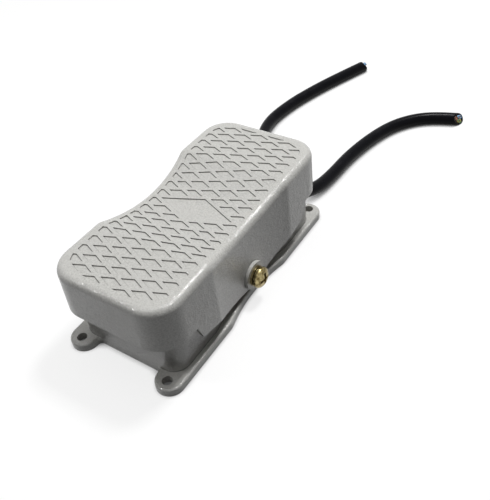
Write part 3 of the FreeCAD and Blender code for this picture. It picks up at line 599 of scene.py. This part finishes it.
@dataclass
class Fittings:
    """The metal, rubber and moulded pieces whose CAD form stays.

    Args:
        nodes: The frame's nodes by name.
        finishes: The finish of each kind of node, by the start of its name.
    """

    nodes: dict[str, bpy.types.Object]
    finishes: dict[str, Finish] = field(default_factory=lambda: {
        "pivot_washer": Finish.YELLOW_ZINC,
        "pivot_bush": Finish.BRONZE,
        "switch_bracket": Finish.ZINC,
        "bracket_screws": Finish.ZINC,
        "earth_screw": Finish.BRASS,
        "cable_grommet": Finish.RUBBER,
        "cable_saddle": Finish.ZINC,
        "saddle_screws": Finish.ZINC,
        "cable_tail": Finish.SHEATH,
        "wire_brown": Finish.BROWN,
        "wire_blue": Finish.BLUE,
        "wire_earth": Finish.EARTH,
        "switch_case": Finish.PHENOLIC,
        "switch_cover": Finish.RED_PHENOLIC,
        "switch_lever": Finish.SPRING_STEEL,
        "switch_plunger": Finish.PHENOLIC,
        "switch_terminals": Finish.BRASS,
        "switch_screws": Finish.ZINC,
        "lever_pin": Finish.ZINC,
        "buffer": Finish.RUBBER,
        "return_spring": Finish.SPRING_STEEL,
        "striker_screw": Finish.ZINC,
        "striker_nut": Finish.ZINC,
    })

    def build(self) -> None:
        """Gives each fitting its finish."""
        for name, node in self.nodes.items():
            for kind, finish in self.finishes.items():
                if name.startswith(kind):
                    dress(node, finish.material)
                    log.info("%s in %s", name, finish.value.name)


@dataclass
class PivotScrew:
    """A pan-head screw with a cross recess on a split spring washer, which the pedal turns on.

    Every length is in millimetres.

    Args:
        side: The side of the switch it is on.
        seat_to_crown: Height of the node's own head, from its seat to its crown.
        head_radius: Radius of the head.
        head_height: Height of the head.
        head_edge: Rounding of the head's lower edge.
        lip: Height of the head's upright rim, as a share of its height.
        dome_power: Power that draws the dome's outline out towards its rim.
        dome_steps: Number of steps in the dome's outline.
        round_steps: Number of steps round the screw.
        shank_radius: Radius of the shank.
        shank_edge: Chamfer of the shank's tip.
        recess_reach: Half the cross's span near the head's top.
        recess_depth: Depth of the cross.
        arm_width: Width of the cross's arms at the top.
        foot: Span and width of the cross at its foot, as shares of those near the top.
        mouth: Span of the cross above the head's top, as a share of that near the top.
        clearance: Height of the cutter above the head.
        turn: Turn of the cross about the screw's axis, in degrees.
        soft_edge: Rounding of the cross's edges.
        washer_radius: Outer radius of the spring washer.
        washer_height: Thickness that the spring washer takes up.
        washer_gap: Turn in degrees that the washer's split takes.
        washer_lift: How far the washer's cut ends are apart along the axis.
        washer_edge: Chamfer of the washer's outer edges.
        washer_play: Play between the washer and the shank.
        washer_margin: Room between the washer's metal and each of its seats.
        washer_turn: Turn of the split about the screw's axis, in degrees.
        washer_steps: Number of steps round the washer.
    """

    side: Side
    seat_to_crown: float = 4.8
    head_radius: float = 5.9
    head_height: float = 3.7
    head_edge: float = 0.2
    lip: float = 0.16
    dome_power: float = 0.84
    dome_steps: int = 14
    round_steps: int = 72
    shank_radius: float = 3.0
    shank_edge: float = 0.5
    recess_reach: float = 4.5
    recess_depth: float = 2.6
    arm_width: float = 1.9
    foot: Span = (0.42, 0.6)
    mouth: float = 1.12
    clearance: float = 1.0
    turn: float = -6.0
    soft_edge: float = 0.14
    washer_radius: float = 5.2
    washer_height: float = 1.2
    washer_gap: float = 14.0
    washer_lift: float = 0.22
    washer_edge: float = 0.15
    washer_play: float = 0.1
    washer_margin: float = 0.12
    washer_turn: float = 250.0
    washer_steps: int = 64

    def profile(self, shank: float) -> list[Span]:
        """The head's and shank's outline as radius and height, from the tip to the crown.

        Args:
            shank: Length of the shank.

        Returns:
            The outline's points.
        """
        points = [(0.0, -shank), (self.shank_radius - self.shank_edge, -shank),
                  (self.shank_radius, self.shank_edge - shank), (self.shank_radius, 0.0),
                  (self.head_radius - self.head_edge, 0.0), (self.head_radius, self.head_edge)]
        lip = self.lip * self.head_height
        for step in range(self.dome_steps + 1):
            lean = math.pi / 2 * step / self.dome_steps
            points.append((self.head_radius * math.cos(lean) ** self.dome_power,
                           lip + (self.head_height - lip) * math.sin(lean)))
        return points

    def head(self, shank: float) -> bpy.types.Object:
        """Turns the screw, before its recess is cut, with its seat at zero.

        Args:
            shank: Length of the shank.

        Returns:
            The screw.
        """
        form = bmesh.new()
        chain = [form.verts.new((radius * MM, 0.0, z * MM)) for radius, z in self.profile(shank)]
        for first, second in zip(chain, chain[1:]):
            form.edges.new((first, second))
        bmesh.ops.spin(form, geom=form.verts[:] + form.edges[:], cent=(0, 0, 0), axis=(0, 0, 1),
                       angle=2 * math.pi, steps=self.round_steps, use_merge=True)
        bmesh.ops.remove_doubles(form, verts=form.verts[:], dist=MERGE_MM * MM)
        return piece_of(form, f"pan_head_screw_{self.side.label}", Finish.YELLOW_ZINC.material)

    def cutter(self) -> bpy.types.Object:
        """Builds the cross that the recess is cut with, narrower towards its foot.

        Returns:
            The cutter.
        """
        form = bmesh.new()
        foot_span, foot_width = self.foot
        levels = ((self.head_height - self.recess_depth, foot_span * self.recess_reach,
                   foot_width * self.arm_width),
                  (self.head_height + self.clearance, self.mouth * self.recess_reach,
                   self.arm_width))
        for quarter in (0.0, math.pi / 2):
            turn = Matrix.Rotation(quarter, 3, "Z")
            loops = []
            for z, reach, width in levels:
                corners = ((-reach, -width / 2), (reach, -width / 2),
                           (reach, width / 2), (-reach, width / 2))
                loops.append([turn @ Vector((x, y, z)) * MM for x, y in corners])
            loft(form, loops, close_first=True, close_last=True)
        return piece_of(form, "recess_cutter", Finish.YELLOW_ZINC.material)

    def spring_washer(self) -> bpy.types.Object:
        """Builds the split washer under the head, with its seat at zero and its cut ends apart.

        Returns:
            The washer.
        """
        form = bmesh.new()
        inner, outer = self.shank_radius + self.washer_play, self.washer_radius
        edge, margin = self.washer_edge, self.washer_margin
        loops = []
        for step in range(self.washer_steps + 1):
            share = step / self.washer_steps
            turn = math.radians(self.washer_gap + (360.0 - self.washer_gap) * share)
            lift = self.washer_lift * (share - 0.5)
            low = margin + max(lift, 0.0)
            high = self.washer_height - margin + min(lift, 0.0)
            corners = ((inner, low), (outer - edge, low), (outer, low + edge),
                       (outer, high - edge), (outer - edge, high), (inner, high))
            loops.append([Vector((radius * math.cos(turn), radius * math.sin(turn), z)) * MM
                          for radius, z in corners])
        loft(form, loops, close_first=True, close_last=True)
        return piece_of(form, f"spring_washer_{self.side.label}", Finish.YELLOW_ZINC.material)

    def cut_recess(self, screw: bpy.types.Object) -> None:
        """Cuts the cross into a screw's head.

        Args:
            screw: The screw.
        """
        cutter = self.cutter()
        cut = screw.modifiers.new("recess", "BOOLEAN")
        cut.operation = "DIFFERENCE"
        cut.solver = "EXACT"
        cut.use_self = True
        cut.object = cutter
        screw.data = bpy.data.meshes.new_from_object(
            screw.evaluated_get(bpy.context.evaluated_depsgraph_get()))
        screw.modifiers.clear()
        bpy.data.objects.remove(cutter)

    def soften(self, screw: bpy.types.Object, sharp: float = 28.0, rounded: float = 40.0) -> None:
        """Shades a cut screw smooth and rounds the edges of its recess.

        Args:
            screw: The screw.
            sharp: The turn in degrees past which an edge is shaded sharp.
            rounded: The turn in degrees past which an edge is rounded.
        """
        screw.data.shade_smooth()
        screw.data.set_sharp_from_angle(angle=math.radians(sharp))
        soft = screw.modifiers.new("edge", "BEVEL")
        soft.width = self.soft_edge * MM
        soft.segments = 2
        soft.limit_method = "ANGLE"
        soft.angle_limit = math.radians(rounded)

    def build(self) -> None:
        """Builds the screw in place of its node, and its spring washer."""
        node = f"pivot_screw_{self.side.label}"
        low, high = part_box(node)
        middle = (low + high) / 2
        outer = high.x if self.side is Side.RIGHT else low.x
        seat = outer - self.side.value * self.seat_to_crown * MM
        rise = self.side.value * self.washer_height * MM
        shank = (high.x - low.x) / MM - self.seat_to_crown + self.washer_height
        screw, washer = self.head(shank), self.spring_washer()
        self.cut_recess(screw)
        upright = Matrix.Rotation(math.radians(90 * self.side.value), 4, "Y")
        for piece, at, turn in ((screw, seat + rise, self.turn), (washer, seat, self.washer_turn)):
            place = Matrix.Translation((at, middle.y, middle.z)) @ upright
            piece.data.transform(place @ Matrix.Rotation(math.radians(turn), 4, "Z"))
            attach(piece, "base")
        self.soften(screw)
        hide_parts(node)
        log.info("%s built on its spring washer", screw.name)


@dataclass(frozen=True)
class Cut:
    """How a cable was cut through. Every length is in millimetres.

    Args:
        slant: The face's own direction, as its parts along the cable, to its right and up.
        reach: Length from the end of the cable's line to the middle of the face.
        ragged: How unevenly the sheath is cut.
        proud: How far each core stands out of the face.
        twist: Turn of the three cores round the cable's middle, in degrees.
    """

    slant: Point
    reach: float
    ragged: float
    proud: dict[Core, float]
    twist: float


@dataclass
class CutEnd:
    """The cut end of a free cable: a slanting face of sheath, filler and cores with their strands.

    Every length is in millimetres. A pair of an inset and a drop says how an edge is broken: how
    far inside the full radius its corner lies, and how far below the face.

    Args:
        side: The side of the switch that the cable leaves.
        end: The end of the cable's line.
        heading: The cable's direction there.
        cut: How the cable was cut.
        radius: Radius of the sheath.
        wall: Thickness of the sheath.
        tuck: Inset and setback of the sleeve's root inside the cable's own sheath.
        sheath_edge: Breadth of the sheath's outer edge.
        sheath_shoulder: Inset and drop of the middle of that edge.
        sheath_burr: Breadth of the sheath's inner edge.
        sheath_depth: Depth of the sheath's open end below the filler.
        tears: Waves round the sheath's cut edge, each as its count, its start and its share.
        filler_crown: The filler's rings, each as its share of the radius and its rise.
        filler_ragged: How unevenly the filler is cut.
        filler_press: How far the filler reaches into the sheath's wall.
        sunk: Depth of the filler below the face.
        core_radius: Radius of a core's insulation.
        core_ring: Distance of a core's middle from the cable's middle.
        core_edge: Inset and drop of the insulation's outer edge.
        core_root: Length of a core below the filler.
        bore: Radius of the bundle of strands in a core.
        bore_edge: Inset and drop of the insulation's inner edge.
        bore_depth: Depth of the bore.
        strand_radius: Radius of one strand.
        strand_rings: The bundle's rings, each as its radius in strand radii and its count.
        strand_sides: Number of sides of a strand.
        strand_turn: Turn of the bundle, in radians.
        strand_sunk: Mean depth of a strand's tip below its core's face.
        strand_swing: How far the tips differ.
        strand_pace: Step of that difference from one strand to the next, in radians.
        strand_root: Length of a strand below its core's face.
        strand_edge: Share of its radius that a strand keeps at its tip, and the tip's length.
    """

    side: Side
    end: Vector
    heading: Vector
    cut: Cut
    radius: float = 4.0
    wall: float = 0.85
    tuck: Span = (0.2, 0.6)
    sheath_edge: float = 0.3
    sheath_shoulder: Span = (0.1, 0.08)
    sheath_burr: float = 0.12
    sheath_depth: float = 0.4
    tears: tuple[tuple[int, float, float], ...] = ((5, 0.7, 1.0), (11, 2.1, 0.6))
    filler_crown: tuple[Span, ...] = ((1.0, 0.0), (0.75, 0.15), (0.45, 0.25), (0.15, 0.3))
    filler_ragged: float = 0.06
    filler_press: float = 0.05
    sunk: float = 0.9
    core_radius: float = 1.36
    core_ring: float = 1.62
    core_edge: Span = (0.12, 0.15)
    core_root: float = 0.6
    bore: float = 0.66
    bore_edge: Span = (0.08, 0.1)
    bore_depth: float = 0.7
    strand_radius: float = 0.17
    strand_rings: tuple[tuple[float, int], ...] = ((0.0, 1), (2.1, 6))
    strand_sides: int = 10
    strand_turn: float = 0.3
    strand_sunk: float = 0.12
    strand_swing: float = 0.1
    strand_pace: float = 3.0
    strand_root: float = 0.9
    strand_edge: Span = (0.7, 0.04)

    def place(self, across: float, up: float, along: float) -> Vector:
        """A point near the cable's end.

        Args:
            across: Its offset to the right of the cable's line.
            up: Its offset above the line.
            along: Its distance past the line's end.

        Returns:
            The point in metres.
        """
        way = self.heading
        right = Vector((way.y, -way.x, 0.0))
        return (self.end + right * across + Vector((0.0, 0.0, up)) + way * along) * MM

    def face(self, across: float, up: float) -> float:
        """How far along the cable the slanting face lies at an offset from the cable's line."""
        along, right, over = self.cut.slant
        return self.cut.reach - (across * right + up * over) / along

    def ring(self, centre: Span, radius: float, count: int, past: float,
             ragged: float = 0.0) -> list[Vector]:
        """A loop on the slanting face.

        Args:
            centre: The loop's middle as its offsets right and up.
            radius: The loop's radius.
            count: Number of points.
            past: Distance of the loop past the face.
            ragged: How unevenly it lies.

        Returns:
            The loop's points in metres.
        """
        points = []
        for step in range(count):
            turn = 2 * math.pi * step / count
            across = centre[0] + radius * math.cos(turn)
            up = centre[1] + radius * math.sin(turn)
            tear = ragged * sum(share * math.sin(waves * turn + start)
                                for waves, start, share in self.tears)
            points.append(self.place(across, up, self.face(across, up) + past + tear))
        return points

    def collar(self, radius: float, count: int, along: float) -> list[Vector]:
        """A loop square to the cable, round its line.

        Args:
            radius: The loop's radius.
            count: Number of points.
            along: Its distance past the line's end.

        Returns:
            The loop's points in metres.
        """
        turns = [2 * math.pi * step / count for step in range(count)]
        return [self.place(radius * math.cos(turn), radius * math.sin(turn), along)
                for turn in turns]

    def sleeve(self, count: int = 56) -> bpy.types.Object:
        """Builds the last stretch of sheath, cut at a slant.

        Args:
            count: Number of points round it.

        Returns:
            The sleeve.
        """
        form = bmesh.new()
        outer, inner = self.radius, self.radius - self.wall
        (inset, setback), (shoulder, drop) = self.tuck, self.sheath_shoulder
        lip = ((outer, -self.sheath_edge), (outer - shoulder, -drop),
               (outer - self.sheath_edge, 0.0), (inner + self.sheath_burr, 0.0),
               (inner, -self.sheath_burr))
        loft(form, [self.collar(outer - inset, count, -setback), self.collar(outer, count, 0.0),
                    *(self.ring((0.0, 0.0), radius, count, past, self.cut.ragged)
                      for radius, past in lip),
                    self.ring((0.0, 0.0), inner, count, -self.sunk - self.sheath_depth)])
        return piece_of(form, f"cut_sleeve_{self.side.label}", Finish.SHEATH.material, sharp=50.0)

    def filler(self, count: int = 48) -> bpy.types.Object:
        """Builds the soft filler between the cores, a little below the face.

        Args:
            count: Number of points round it.

        Returns:
            The filler.
        """
        form = bmesh.new()
        inside = self.radius - self.wall + self.filler_press
        loft(form, [self.ring((0.0, 0.0), inside * share, count, -self.sunk + rise,
                              self.filler_ragged)
                    for share, rise in self.filler_crown], close_last=True)
        return piece_of(form, f"cut_filler_{self.side.label}", Finish.FILLER.material, sharp=60.0)

    def centre(self, core: Core) -> Span:
        """A core's middle as its offsets right and up."""
        turn = math.radians(core.value + self.cut.twist)
        return self.core_ring * math.cos(turn), self.core_ring * math.sin(turn)

    def insulation(self, core: Core, count: int = 32) -> bpy.types.Object:
        """Builds one core's insulation, cut in line with the face, with its strands' bore.

        Args:
            core: The core.
            count: Number of points round it.

        Returns:
            The insulation, which replaces the core's node.
        """
        form = bmesh.new()
        at, out = self.centre(core), self.cut.proud[core]
        (outset, outer_drop), (inset, inner_drop) = self.core_edge, self.bore_edge
        outline = ((self.core_radius, -self.sunk - self.core_root - out),
                   (self.core_radius, -outer_drop), (self.core_radius - outset, 0.0),
                   (self.bore + inset, 0.0), (self.bore, -inner_drop),
                   (self.bore, -self.bore_depth))
        loft(form, [self.ring(at, radius, count, out + past) for radius, past in outline],
             close_last=True)
        piece = piece_of(form, f"cut_core_{core.label}_{self.side.label}",
                         Finish[core.name].material, sharp=50.0)
        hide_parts(f"core_{core.label}_{self.side.label}")
        return piece

    def strand(self, form: bmesh.types.BMesh, middle: Span, out: float, top: float) -> None:
        """Adds one strand to a form.

        Args:
            form: The form that takes the strand.
            middle: The strand's middle as its offsets right and up.
            out: Distance of its core's face past the cable's.
            top: Distance of its tip past the cable's face.
        """
        tip, drop = self.strand_edge
        outline = ((self.strand_radius, out - self.strand_root), (self.strand_radius, top - drop),
                   (tip * self.strand_radius, top))
        loft(form, [self.ring(middle, radius, self.strand_sides, past)
                    for radius, past in outline], close_last=True)

    def strands(self) -> bpy.types.Object:
        """Builds the copper strands of all three cores, cut at slightly different lengths.

        Returns:
            The strands as one piece.
        """
        form = bmesh.new()
        for core in Core:
            (across, up), out = self.centre(core), self.cut.proud[core]
            for shell, count in self.strand_rings:
                for step in range(count):
                    turn = 2 * math.pi * step / count + self.strand_turn
                    reach = shell * self.strand_radius
                    middle = (across + reach * math.cos(turn), up + reach * math.sin(turn))
                    swing = self.strand_swing * math.sin(self.strand_pace * step + core.value)
                    self.strand(form, middle, out, out - self.strand_sunk + swing)
        return piece_of(form, f"cut_strands_{self.side.label}", Finish.COPPER.material, sharp=40.0)

    def build(self) -> list[bpy.types.Object]:
        """Builds the cut end.

        Returns:
            Its pieces.
        """
        pieces = [self.sleeve(), self.filler(), self.strands()]
        for core in Core:
            piece = self.insulation(core)
            pieces.append(piece)
        for piece in pieces:
            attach(piece, "base")
        return pieces


@dataclass
class FreeCable:
    """One of the two cables that lie free, from its grommet to its cut end.

    Every length is in millimetres.

    Args:
        side: The side of the switch it leaves.
        route: The route's points.
        length: Length of the sheath.
        cut: How its end was cut.
        radius: Radius of the sheath.
    """

    side: Side
    route: tuple[Point, ...]
    length: float
    cut: Cut
    radius: float = 4.0

    def sheath(self) -> bpy.types.Object:
        """Builds the sheath as a smooth curve along the route.

        Returns:
            The sheath.
        """
        curve = bpy.data.curves.new(f"sheath_{self.side.label}", "CURVE")
        curve.dimensions = "3D"
        curve.bevel_depth = self.radius * MM
        curve.bevel_resolution = 12
        curve.resolution_u = 16
        curve.use_fill_caps = True
        spline = curve.splines.new("NURBS")
        spline.points.add(len(self.route) - 1)
        for point, place in zip(spline.points, self.route):
            point.co = (*(value * MM for value in place), 1.0)
        spline.order_u = 3
        spline.use_endpoint_u = True
        sheath = bpy.data.objects.new(f"free_sheath_{self.side.label}", curve)
        bpy.context.collection.objects.link(sheath)
        dress(sheath, Finish.SHEATH.material)
        return sheath

    def build(self) -> None:
        sheath = self.sheath()
        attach(sheath, "base")
        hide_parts(f"cable_{self.side.label}")
        end = Vector(self.route[-1])
        heading = (end - Vector(self.route[-2])).normalized()
        cut_end = CutEnd(self.side, end, heading, self.cut, self.radius)
        cut_end.build()
        log.info("%s lies %.0f mm long", sheath.name, self.length)


@dataclass(frozen=True)
class Lamp:
    """A square soft box that faces the switch.

    Args:
        name: The lamp's name.
        direction: Direction of the lamp from the switch.
        distance: Its distance in metres.
        size: Its side in metres.
        watts: Its power.
        aim_height: Height of the point that it faces, in metres.
    """

    name: str
    direction: Point
    distance: float
    size: float
    watts: float
    aim_height: float = 0.03

    def build(self) -> None:
        """Hangs the lamp."""
        data = bpy.data.lights.new(self.name, "AREA")
        data.shape = "SQUARE"
        data.size = self.size
        data.energy = self.watts
        lamp = bpy.data.objects.new(self.name, data)
        bpy.context.collection.objects.link(lamp)
        away = Vector(self.direction).normalized()
        place = Matrix.Translation(away * self.distance + Vector((0.0, 0.0, self.aim_height)))
        lamp.matrix_world = place @ (-away).to_track_quat("-Z", "Y").to_matrix().to_4x4()


def seen(tree: bpy.types.NodeTree) -> Socket:
    """1 for the rays that show a surface or reflect it, and 0 for those that only light others.

    Args:
        tree: The node tree that takes the nodes.

    Returns:
        The value's socket.
    """
    path = tree.nodes.new("ShaderNodeLightPath")
    total = path.outputs["Is Camera Ray"]
    for kind in ("Is Glossy Ray", "Is Transmission Ray"):
        larger = tree.nodes.new("ShaderNodeMath")
        larger.operation = "MAXIMUM"
        tree.links.new(total, larger.inputs[0])
        tree.links.new(path.outputs[kind], larger.inputs[1])
        total = larger.outputs["Value"]
    return total


@dataclass
class Studio:
    """Floor, lamps, world and camera.

    Args:
        eye: The camera's place in metres.
        aim: The point that the camera's axis meets.
        roll: The camera's turn about its axis, in degrees.
        focal_pixels: Focal length in pixels of the photograph.
        sensor: Width of the camera's sensor in millimetres.
        clip: Nearest and farthest distance that the camera sees, in metres.
        lamps: The lamps.
        dim: Level of the world and of the floor's colour for soft light, so that the sides stay
            darker than the top.
        floor_size: Side of the floor in metres.
        floor_tone: Grey of the floor where it is lit.
        floor_roughness: Roughness of the floor.
        contact_mm: Reach of the floor's shade round what stands on it.
        contact_band: Openness at which that shade is darkest and at which it ends.
        glow: The floor's own light in that shade and on open floor.
    """

    eye: Point = (0.16125, -0.18133, 0.23947)
    aim: Point = (0.02197, 0.00839, 0.0200)
    roll: float = -6.079
    focal_pixels: float = 612.2
    sensor: float = 36.0
    clip: Span = (0.01, 20.0)
    lamps: tuple[Lamp, ...] = (
        Lamp("key_light", (0.10, 0.46, 0.88), distance=1.1, size=0.18, watts=7.6),
        Lamp("soft_box", (-0.05, 0.12, 0.99), distance=1.1, size=0.9, watts=4.2),
        Lamp("rim_light", (-0.50, -0.42, 0.76), distance=1.2, size=0.09, watts=1.9),
    )
    dim: float = 0.05
    floor_size: float = 6.0
    floor_tone: float = 0.24
    floor_roughness: float = 0.9
    contact_mm: float = 6.0
    contact_band: Span = (0.3, 0.72)
    glow: Span = (0.03, 0.80)

    def camera(self) -> None:
        """Sets the camera where the photograph was taken from."""
        data = bpy.data.cameras.new("view")
        data.sensor_fit = "AUTO"
        data.sensor_width = self.sensor
        data.lens = self.sensor * self.focal_pixels / max(PHOTO_WIDTH, PHOTO_HEIGHT)
        data.clip_start, data.clip_end = self.clip
        camera = bpy.data.objects.new("view", data)
        bpy.context.collection.objects.link(camera)
        turn = (Vector(self.aim) - Vector(self.eye)).to_track_quat("-Z", "Y").to_matrix().to_4x4()
        camera.matrix_world = Matrix.Translation(self.eye) @ turn @ Matrix.Rotation(
            math.radians(self.roll), 4, "Z")
        bpy.context.scene.camera = camera

    def world(self) -> None:
        """Makes a white world that gives only a little soft light."""
        world = bpy.data.worlds.new("studio")
        bpy.context.scene.world = world
        world.use_nodes = True
        tree = world.node_tree
        background = tree.nodes["Background"]
        background.inputs["Color"].default_value = rgb(1.0, 1.0, 1.0)
        level = tree.nodes.new("ShaderNodeMapRange")
        level.inputs["To Min"].default_value = self.dim
        level.inputs["To Max"].default_value = 1.0
        tree.links.new(seen(tree), level.inputs["Value"])
        tree.links.new(level.outputs["Result"], background.inputs["Strength"])

    def floor(self) -> None:
        """Lays a white floor that keeps the object's shadow, darkest where something stands."""
        form = bmesh.new()
        bmesh.ops.create_grid(form, x_segments=1, y_segments=1, size=self.floor_size / 2)
        board = NodeBoard("floor_paper")
        floor = piece_of(form, "floor", board.material)
        board.constant("Base Color", rgb(self.floor_tone, self.floor_tone, self.floor_tone))
        board.constant("Roughness", self.floor_roughness)
        board.constant("Specular IOR Level", 0.0)
        paper = board.tree.nodes.new("ShaderNodeBsdfDiffuse")
        paper.inputs["Color"].default_value = rgb(self.dim, self.dim, self.dim)
        glow = board.tree.nodes.new("ShaderNodeEmission")
        glow.inputs["Color"].default_value = rgb(1.0, 1.0, 1.0)
        openness = board.corners(self.contact_mm, samples=8)
        board.link(board.spread(openness, self.contact_band, self.glow), glow.inputs["Strength"])
        both = board.tree.nodes.new("ShaderNodeAddShader")
        pick = board.tree.nodes.new("ShaderNodeMixShader")
        board.link(board.shader.outputs["BSDF"], both.inputs[0])
        board.link(glow.outputs["Emission"], both.inputs[1])
        board.link(seen(board.tree), pick.inputs["Fac"])
        board.link(paper.outputs["BSDF"], pick.inputs[1])
        board.link(both.outputs["Shader"], pick.inputs[2])
        board.link(pick.outputs["Shader"], board.tree.nodes["Material Output"].inputs["Surface"])

    def build(self) -> None:
        """Builds the world, the floor and the lamps round the camera that is there already."""
        self.world()
        self.floor()
        for lamp in self.lamps:
            lamp.build()
        bpy.context.scene.view_settings.view_transform = "Standard"


RIGHT_ROUTE = (
    (17.0, 67.5, 10.0),
    (19.0, 77.0, 9.2),
    (22.8, 90.0, 5.4),
    (24.2, 107.0, 4.1),
    (25.0, 130.0, 4.1),
    (29.5, 156.0, 4.1),
    (36.5, 177.0, 4.1),
    (47.5, 191.5, 4.1),
    (60.0, 199.4, 4.1),
    (70.2, 202.6, 4.1),
)
LEFT_ROUTE = (
    (-17.0, 67.5, 10.0),
    (-17.0, 82.0, 10.0),
    (-22.0, 103.0, 4.1),
    (-36.0, 119.0, 4.1),
    (-45.0, 143.0, 4.1),
    (-42.5, 172.0, 4.1),
    (-36.0, 198.0, 4.1),
    (-28.0, 222.5, 4.1),
    (-19.0, 246.8, 4.1),
)
RIGHT_CUT = Cut((0.75, 0.5, 0.4), reach=3.6, ragged=0.05, twist=35.0,
                proud={Core.BROWN: 0.1, Core.BLUE: 0.35, Core.EARTH: 0.25})
LEFT_CUT = Cut((0.86, 0.1, 0.50), reach=3.1, ragged=0.24, twist=-48.0,
               proud={Core.BROWN: 0.5, Core.BLUE: 2.4, Core.EARTH: 0.6})


def main(nodes: dict[str, bpy.types.Object]) -> None:
    """Builds every piece of the switch and its studio, in order.

    Args:
        nodes: The frame's nodes by name.
    """
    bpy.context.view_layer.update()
    studio = Studio()
    studio.camera()
    FreeCable(Side.RIGHT, RIGHT_ROUTE, length=155.4, cut=RIGHT_CUT).build()
    FreeCable(Side.LEFT, LEFT_ROUTE, length=189.6, cut=LEFT_CUT).build()
    Castings(nodes).build()
    Fittings(nodes).build()
    for side in Side:
        PivotScrew(side).build()
    studio.build()


if __name__ == "__main__":
    logging.basicConfig(level=logging.INFO, format="%(name)s: %(message)s")
    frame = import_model()
    main(frame["nodes"])
